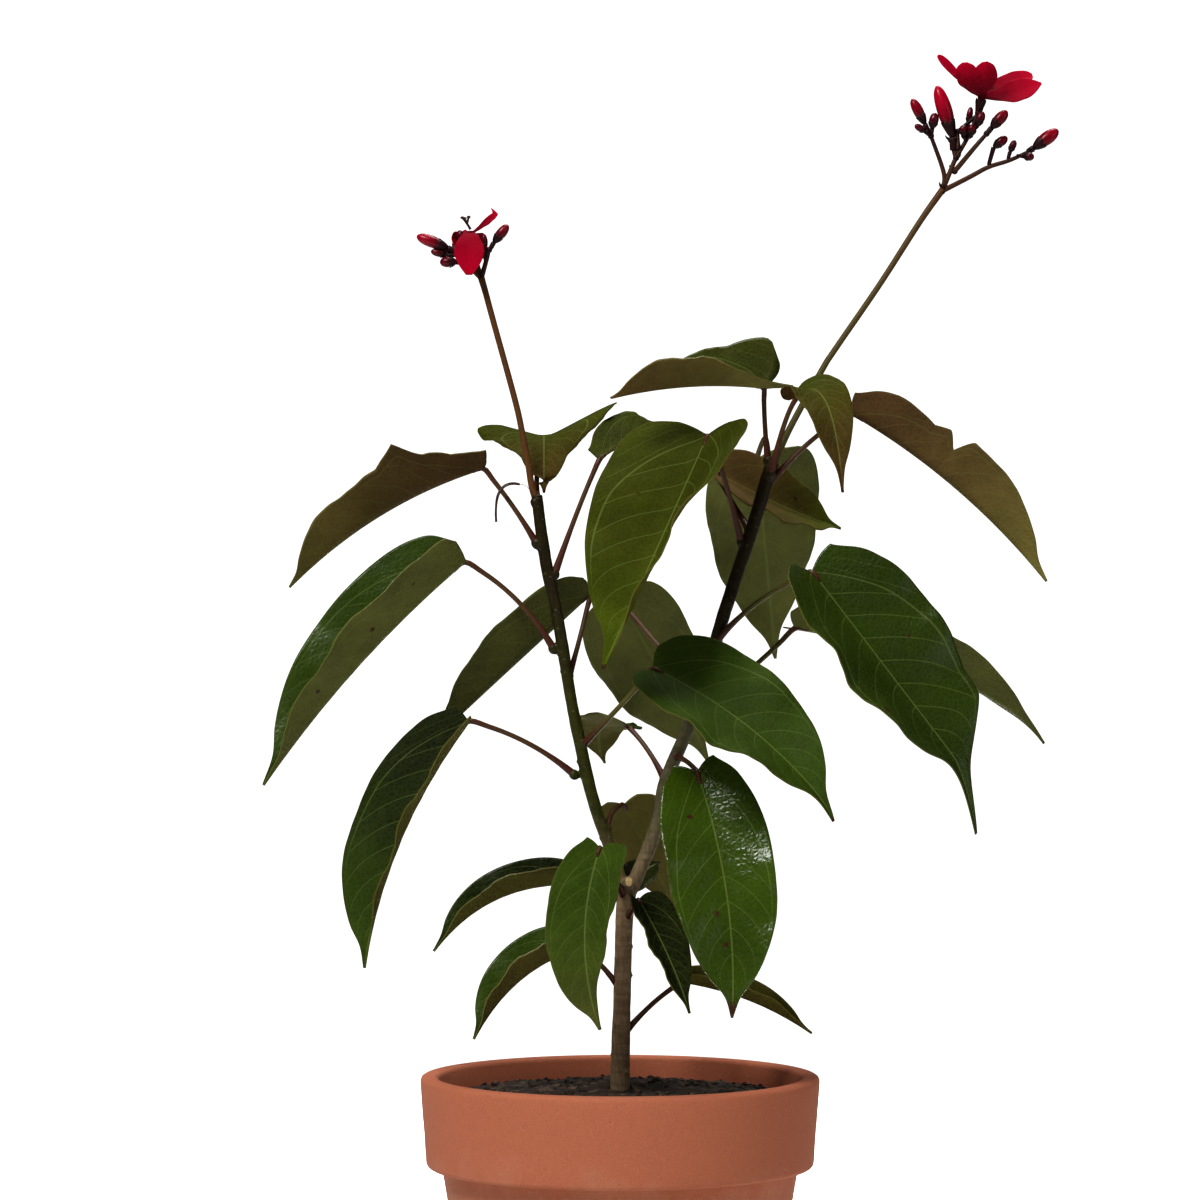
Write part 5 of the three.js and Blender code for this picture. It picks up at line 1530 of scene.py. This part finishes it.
def painted_skin(name, grain, depth, stretch=1, **uniform):
    """A skin whose colour the mesh gives, with a grain, in millimetres, drawn out along Z, and its depth."""
    finish, tree, shader, place_of = material(name, **uniform)
    tissue = add(tree, "ShaderNodeAttribute", attribute_name="tissue").outputs["Color"]
    drawn = add(tree, "ShaderNodeMapping", {"Vector": place_of, "Scale": (1, 1, 1 / stretch)}).outputs[0]
    cells = {"Vector": drawn, "Scale": 1 / (grain * MM), "Detail": 3}
    cells = add(tree, "ShaderNodeTexNoise", cells).outputs["Fac"]
    bump = add(tree, "ShaderNodeBump", {"Strength": 0.5, "Distance": depth * MM, "Height": cells})
    wear(tree, shader, Base_Color=shaded(tree, tissue, cells, 0.88, 1.12), Normal=bump.outputs[0])
    return finish


def petiole_skin():
    """Leaf stalks: tight living skin without wax. Its moisture gives a soft line of light along the stalk."""
    return painted_skin("petiole_skin", 0.5, 0.03, 5, Roughness=0.45, IOR=1.35)


def shoot_skin():
    """Flower stalks and calyces: skin grown with short ridges, which spread the light wider."""
    return painted_skin("flower_stalk_skin", 0.4, 0.03, 8, Roughness=0.5, IOR=1.28)


def lenticelled_bark():
    """Bark: corky and dull low on the trunk, still a dark living skin on the branches."""
    shoots = settings("shoots")
    # Cork scatters the light and the young skin above it shines a little: roughness falls with height.
    finish, tree, shader, place_of = material("lenticelled_bark", IOR=1.28)
    axes = add(tree, "ShaderNodeSeparateXYZ", {0: place_of})
    wide = add(tree, "ShaderNodeTexNoise", {"Vector": place_of, "Scale": 120, "Detail": 3}).outputs["Fac"]
    wander = add(tree, "ShaderNodeMath", {0: wide, 1: 0.02}, operation="MULTIPLY").outputs[0]
    level = add(tree, "ShaderNodeMath", {0: axes.outputs["Z"], 1: wander}, operation="ADD").outputs[0]
    # The trunk forks 165 mm above the table; the left branch runs to the left of x = 0.
    left, forked, young = (
        add(tree, "ShaderNodeMapRange", {"Value": value, 1: low, 2: high, 3: 0, 4: 1}).outputs[0]
        for value, low, high in (
            (axes.outputs["X"], 0.003, -0.002), (level, 0.17, 0.2), (level, 0.225, 0.265)
        )
    )
    pale, trunk, green, branch = map(four, (shoots.pale, shoots.trunk, shoots.green, shoots.branch))
    skin = add(tree, "ShaderNodeMix", {0: left, 6: pale, 7: green}, data_type="RGBA").outputs[2]
    skin = add(tree, "ShaderNodeMix", {0: forked, 6: trunk, 7: skin}, data_type="RGBA").outputs[2]
    skin = add(tree, "ShaderNodeMix", {0: young, 6: skin, 7: branch}, data_type="RGBA").outputs[2]
    # Fissures along the trunk, 0.9 mm apart and 5 mm long, and growth rings round the shoots, 1.5 mm apart
    drawn = []
    for squeeze, scale, detail, roughness in (((1, 1, 0.2), 1100, 5, 0.65), ((0.22, 0.22, 1), 650, 4, 0.6)):
        at = add(tree, "ShaderNodeMapping", {"Vector": place_of, "Scale": squeeze}).outputs[0]
        noisy = {"Vector": at, "Scale": scale, "Detail": detail, "Roughness": roughness}
        drawn.append(add(tree, "ShaderNodeTexNoise", noisy).outputs["Fac"])
    streaks, rings = drawn
    worn = shaded(tree, shaded(tree, skin, streaks, 0.75, 1.25), rings, 0.75, 1.15, high=0.6)
    # Lenticels: corky specks, 0.7 mm wide and 2 mm apart, that fade on the young skin
    flat = add(tree, "ShaderNodeMapping", {"Vector": place_of, "Scale": (0.7, 0.7, 1.3)}).outputs[0]
    specks = add(tree, "ShaderNodeTexVoronoi", {"Vector": flat, "Scale": 480}).outputs["Distance"]
    speck = add(tree, "ShaderNodeMapRange", {"Value": specks, 1: 0.1, 2: 0.2, 3: 0.5, 4: 0}).outputs[0]
    old = add(tree, "ShaderNodeMapRange", {"Value": forked, 1: 0, 2: 1, 3: 1, 4: 0.3}).outputs[0]
    shown = add(tree, "ShaderNodeMath", {0: speck, 1: old}, operation="MULTIPLY").outputs[0]
    inputs = {0: shown, 6: worn, 7: four(shoots.lenticel)}
    tint = add(tree, "ShaderNodeMix", inputs, data_type="RGBA").outputs[2]
    rough = add(tree, "ShaderNodeMapRange", {"Value": forked, 1: 0, 2: 1, 3: 0.8, 4: 0.42}).outputs[0]
    uneven = add(tree, "ShaderNodeMath", {0: rings, 1: streaks}, operation="ADD").outputs[0]
    raised = add(tree, "ShaderNodeMath", {0: speck, 1: uneven}, operation="ADD").outputs[0]
    bump = add(tree, "ShaderNodeBump", {"Strength": 0.7, "Distance": 0.2 * MM, "Height": raised})
    wear(tree, shader, Base_Color=tint, Roughness=rough, Normal=bump.outputs[0])
    return finish


def cut_wood():
    """Face of the stub: wood cut with shears and dried. Its open pores, 0.12 mm wide, leave no shine."""
    finish, tree, shader, place_of = material("sheared_dry_wood", Roughness=0.8, IOR=1.5)
    pores = {"Vector": place_of, "Scale": 4000, "Detail": 3}
    pores = add(tree, "ShaderNodeTexNoise", pores).outputs["Fac"]
    tint = shaded(tree, four(settings("shoots").wood), pores, 0.55, 1.1)
    bump = add(tree, "ShaderNodeBump", {"Strength": 0.5, "Distance": 0.08 * MM, "Height": pores})
    wear(tree, shader, Base_Color=tint, Normal=bump.outputs[0])
    return finish


def velvety_petal():
    """Petals: cone-shaped cells catch the light at the edges, which gives the velvet."""
    velvet = {"Roughness": 0.7, "IOR": 1.14, "Sheen_Weight": 0.03, "Sheen_Roughness": 0.4}
    return painted_skin("velvety_petal", 0.35, 0.06, **velvet)


def rolled_bud():
    """Buds: the outsides of petals rolled up tight, whose smooth skin gives a small clear highlight."""
    return painted_skin("rolled_bud", 0.9, 0.05, Roughness=0.3, IOR=1.3)


def filament_skin():
    """Filaments: moist petal tissue without the velvet, so they shine a little."""
    return grained("filament_skin", settings("shoots").twig, 0.3, 0.03, Roughness=0.5, IOR=1.3)


def anther_pollen():
    """Anthers: split pollen sacs, powdery and quite dull. The grains, 0.07 mm, are twice their real size."""
    return grained("anther_pollen", settings("bloom").anther, 0.07, 0.05, Roughness=0.85, IOR=1.5)


def grained(name, tint, grain, depth, **uniform):
    """One colour broken up by a grain, in millimetres."""
    finish, tree, shader, place_of = material(name, **uniform)
    cells = {"Vector": place_of, "Scale": 1 / (grain * MM), "Detail": 2}
    cells = add(tree, "ShaderNodeTexNoise", cells).outputs["Fac"]
    bump = add(tree, "ShaderNodeBump", {"Strength": 0.6, "Distance": depth * MM, "Height": cells})
    wear(tree, shader, Base_Color=shaded(tree, four(tint), cells, 0.6, 1.3), Normal=bump.outputs[0])
    return finish


def fired_terracotta():
    """Pot: clay pressed in a mould and fired without glaze, so open-pored and dry, with a bloom of salts."""
    pot = settings("pot")
    finish, tree, shader, place_of = material("fired_terracotta", Roughness=0.86, IOR=1.5)
    height = add(tree, "ShaderNodeSeparateXYZ", {0: place_of}).outputs["Z"]
    # Sand grains of 0.4 mm, and clouds of 25 mm from the kiln
    grains = ({"Scale": 2500, "Detail": 4, "Roughness": 0.7}, {"Scale": 40, "Detail": 6, "Roughness": 0.62})
    sand, clouds = (
        add(tree, "ShaderNodeTexNoise", {"Vector": place_of, **size}).outputs["Fac"] for size in grains
    )
    # Salts bloom where the wall was damp, so they are thickest low on the pot.
    damp = add(tree, "ShaderNodeMapRange", {"Value": height, 1: 0.02, 2: 0.1, 3: 0.75, 4: 0.15}).outputs[0]
    bloom = add(tree, "ShaderNodeMath", {0: clouds, 1: damp}, operation="MULTIPLY").outputs[0]
    bloom = add(tree, "ShaderNodeMapRange", {"Value": bloom, 1: 0.12, 2: 0.42, 3: 0.05, 4: 0.75}).outputs[0]
    inputs = {0: bloom, 6: four(pot.clay), 7: four(pot.bloom)}
    clay = add(tree, "ShaderNodeMix", inputs, data_type="RGBA").outputs[2]
    # Pits of 1.2 mm where a grain of sand fell out
    pits = add(tree, "ShaderNodeTexVoronoi", {"Vector": place_of, "Scale": 260}).outputs["Distance"]
    pit = add(tree, "ShaderNodeMapRange", {"Value": pits, 1: 0.08, 2: 0.2, 3: -1, 4: 0}).outputs[0]
    relief_of = add(tree, "ShaderNodeMath", {0: pit, 1: sand}, operation="ADD").outputs[0]
    bump = add(tree, "ShaderNodeBump", {"Strength": 0.6, "Distance": 0.15 * MM, "Height": relief_of})
    wear(tree, shader, Base_Color=shaded(tree, clay, sand, 0.8, 1.14), Normal=bump.outputs[0])
    return finish


def potting_soil():
    """Soil: rotted bark and peat, moist, so dark with small glints."""
    pot = settings("pot")
    finish, tree, shader, place_of = material("moist_potting_soil", Roughness=0.8, IOR=1.4)
    # Crumbs of 1.1 mm, and bits of bark 2.4 mm wide, of which the palest are grit
    crumbs = {"Vector": place_of, "Scale": 900, "Detail": 6, "Roughness": 0.75}
    crumbs = add(tree, "ShaderNodeTexNoise", crumbs).outputs["Fac"]
    bits = add(tree, "ShaderNodeTexVoronoi", {"Vector": place_of, "Scale": 420}).outputs["Color"]
    light = add(tree, "ShaderNodeSeparateColor", {0: bits}).outputs[0]
    pale = add(tree, "ShaderNodeMapRange", {"Value": light, 1: 0.7, 2: 0.95, 3: 0, 4: 0.8}).outputs[0]
    inputs = {0: pale, 6: four(pot.earth), 7: four(pot.grit)}
    earth = add(tree, "ShaderNodeMix", inputs, data_type="RGBA").outputs[2]
    tint = shaded(tree, earth, crumbs, 0.4, 1.5, 0.25, 0.75)
    rough = add(tree, "ShaderNodeMapRange", {"Value": crumbs, 1: 0.3, 2: 0.7, 3: 0.55, 4: 0.95}).outputs[0]
    bump = add(tree, "ShaderNodeBump", {"Strength": 0.9, "Distance": 0.6 * MM, "Height": crumbs})
    wear(tree, shader, Base_Color=tint, Roughness=rough, Normal=bump.outputs[0])
    return finish


def seamless_paper():
    """Floor: uncoated paper from a roll, dead matt, with a fibre that hardly shows."""
    return grained("seamless_paper", settings("stage").paper, 0.5, 0.02, Roughness=0.95, IOR=1.5)


# Operators


class PEREGRINA_OT_leaves(bpy.types.Operator):
    """Builds the 26 leaves with their stalks."""

    bl_idname = "peregrina.leaves"
    bl_label = "Leaves"

    def execute(self, context):
        finishes = [leaf_cuticle(), leaf_underside(), petiole_skin()]
        for entry in LEAVES:
            leaf_piece({**entry, **LOOKS[entry["name"]]}, finishes)
        return {"FINISHED"}


class PEREGRINA_OT_stem(bpy.types.Operator):
    """Builds the trunk and branches, and the cut face of the stub."""

    bl_idname = "peregrina.stem"
    bl_label = "Stem"

    def execute(self, context):
        stem_piece([lenticelled_bark()])
        stub_piece([cut_wood()])
        return {"FINISHED"}


class PEREGRINA_OT_flowers(bpy.types.Operator):
    """Builds the two clusters: stalks, buds, petals and stamens."""

    bl_idname = "peregrina.flowers"
    bl_label = "Flowers"

    def execute(self, context):
        skin, bud, petal = shoot_skin(), rolled_bud(), velvety_petal()
        pollen = [filament_skin(), anther_pollen()]
        for entry in CYMES:
            flower_stalk_piece(entry, [skin])
            bud_piece(entry, [bud])
            corolla_piece(entry, [petal])
            stamen_piece(entry, pollen)
        return {"FINISHED"}


class PEREGRINA_OT_pot(bpy.types.Operator):
    """Builds the pot and the soil in it."""

    bl_idname = "peregrina.pot"
    bl_label = "Pot and soil"

    def execute(self, context):
        pot_piece([fired_terracotta()])
        soil_piece([potting_soil()])
        return {"FINISHED"}


class PEREGRINA_OT_stage(bpy.types.Operator):
    """Builds the paper floor, the lights and the camera."""

    bl_idname = "peregrina.stage"
    bl_label = "Stage"

    def execute(self, context):
        stage_and_camera()
        return {"FINISHED"}


def stage_and_camera():
    """Paper, soft light and the camera of the photograph."""
    stage = settings("stage")
    shape = Shape()
    rim = FLOOR["radius"] * around(turn_of(FLOOR["turns"]), np.array([1, 0, 0]), np.array([0, 1, 0]))
    shape.add(rim - [0, 0, FLOOR["gap"]], [list(range(FLOOR["turns"]))], flat=True)
    floor = shape.make("paper_floor", [seamless_paper()])
    softbox("key", stage.key)
    softbox("overhead", stage.key * 0.4)
    softbox("fill", stage.fill)
    paper_light = softbox("paper_light", stage.paper_light)
    paper_light.rotation_euler = (0, 0, 0)
    paper_light.data.spread = math.radians(70)
    world = bpy.data.worlds.new("white_studio")
    world.use_nodes = True
    tree = world.node_tree
    tree.nodes.clear()
    # The viewer sees plain white behind the plant, and the plant a dimmer room.
    ray = add(tree, "ShaderNodeLightPath").outputs["Is Camera Ray"]
    power = add(tree, "ShaderNodeMapRange", {"Value": ray, 1: 0, 2: 1, 3: stage.sky, 4: 1.0}).outputs[0]
    light = add(tree, "ShaderNodeBackground", {"Color": (1, 1, 1, 1), "Strength": power})
    add(tree, "ShaderNodeOutputWorld", {"Surface": light.outputs[0]})
    scene = bpy.context.scene
    scene.world = world
    scene.view_settings.view_transform = "Standard"
    scene.view_settings.look = "Medium High Contrast"
    camera = bpy.data.objects.new("camera", bpy.data.cameras.new("camera"))
    camera.data.sensor_width = SENSOR
    camera.data.lens = SENSOR * -EYE.y / VIEW_WIDTH
    camera.location = EYE * MM
    camera.rotation_euler = (math.pi / 2, 0, 0)
    scene.collection.objects.link(camera)
    scene.camera = camera


def softbox(name, power):
    """A square soft light that faces the plant."""
    light = bpy.data.lights.new(name, "AREA")
    light.size = LAMPS[name]["size"]
    light.energy = power
    lamp = bpy.data.objects.new(name, light)
    lamp.location = LAMPS[name]["place"]
    aim = Vector((0, 0, 0.25)) - lamp.location
    lamp.rotation_euler = aim.to_track_quat("-Z", "Y").to_euler()
    lamp.visible_camera = False
    bpy.context.scene.collection.objects.link(lamp)
    return lamp


class PEREGRINA_PT_panel(bpy.types.Panel):
    """Sidebar panel of the peregrina."""

    bl_idname = "PEREGRINA_PT_panel"
    bl_label = "Potted peregrina"
    bl_space_type = "VIEW_3D"
    bl_region_type = "UI"
    bl_category = "Peregrina"

    def draw(self, context):
        for operator in OPERATORS:
            self.layout.operator(operator.bl_idname)


OPERATORS = (
    PEREGRINA_OT_pot,
    PEREGRINA_OT_stem,
    PEREGRINA_OT_leaves,
    PEREGRINA_OT_flowers,
    PEREGRINA_OT_stage,
)
GROUPS = {
    "peregrina_foliage": FoliageSettings,
    "peregrina_shoots": ShootSettings,
    "peregrina_bloom": BloomSettings,
    "peregrina_pot": PotSettings,
    "peregrina_stage": StageSettings,
}


def register():
    """Registers the settings, the operators and the panel."""
    for name, group in GROUPS.items():
        bpy.utils.register_class(group)
        setattr(bpy.types.Scene, name, bpy.props.PointerProperty(type=group))
    for operator in OPERATORS:
        bpy.utils.register_class(operator)
    bpy.utils.register_class(PEREGRINA_PT_panel)


def unregister():
    """Takes them out again."""
    bpy.utils.unregister_class(PEREGRINA_PT_panel)
    for operator in reversed(OPERATORS):
        bpy.utils.unregister_class(operator)
    for name, group in reversed(GROUPS.items()):
        delattr(bpy.types.Scene, name)
        bpy.utils.unregister_class(group)


def main():
    """Builds the whole plant."""
    register()
    bpy.ops.peregrina.pot()
    bpy.ops.peregrina.stem()
    bpy.ops.peregrina.leaves()
    bpy.ops.peregrina.flowers()
    bpy.ops.peregrina.stage()
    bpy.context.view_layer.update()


if __name__ == "__main__":
    main()
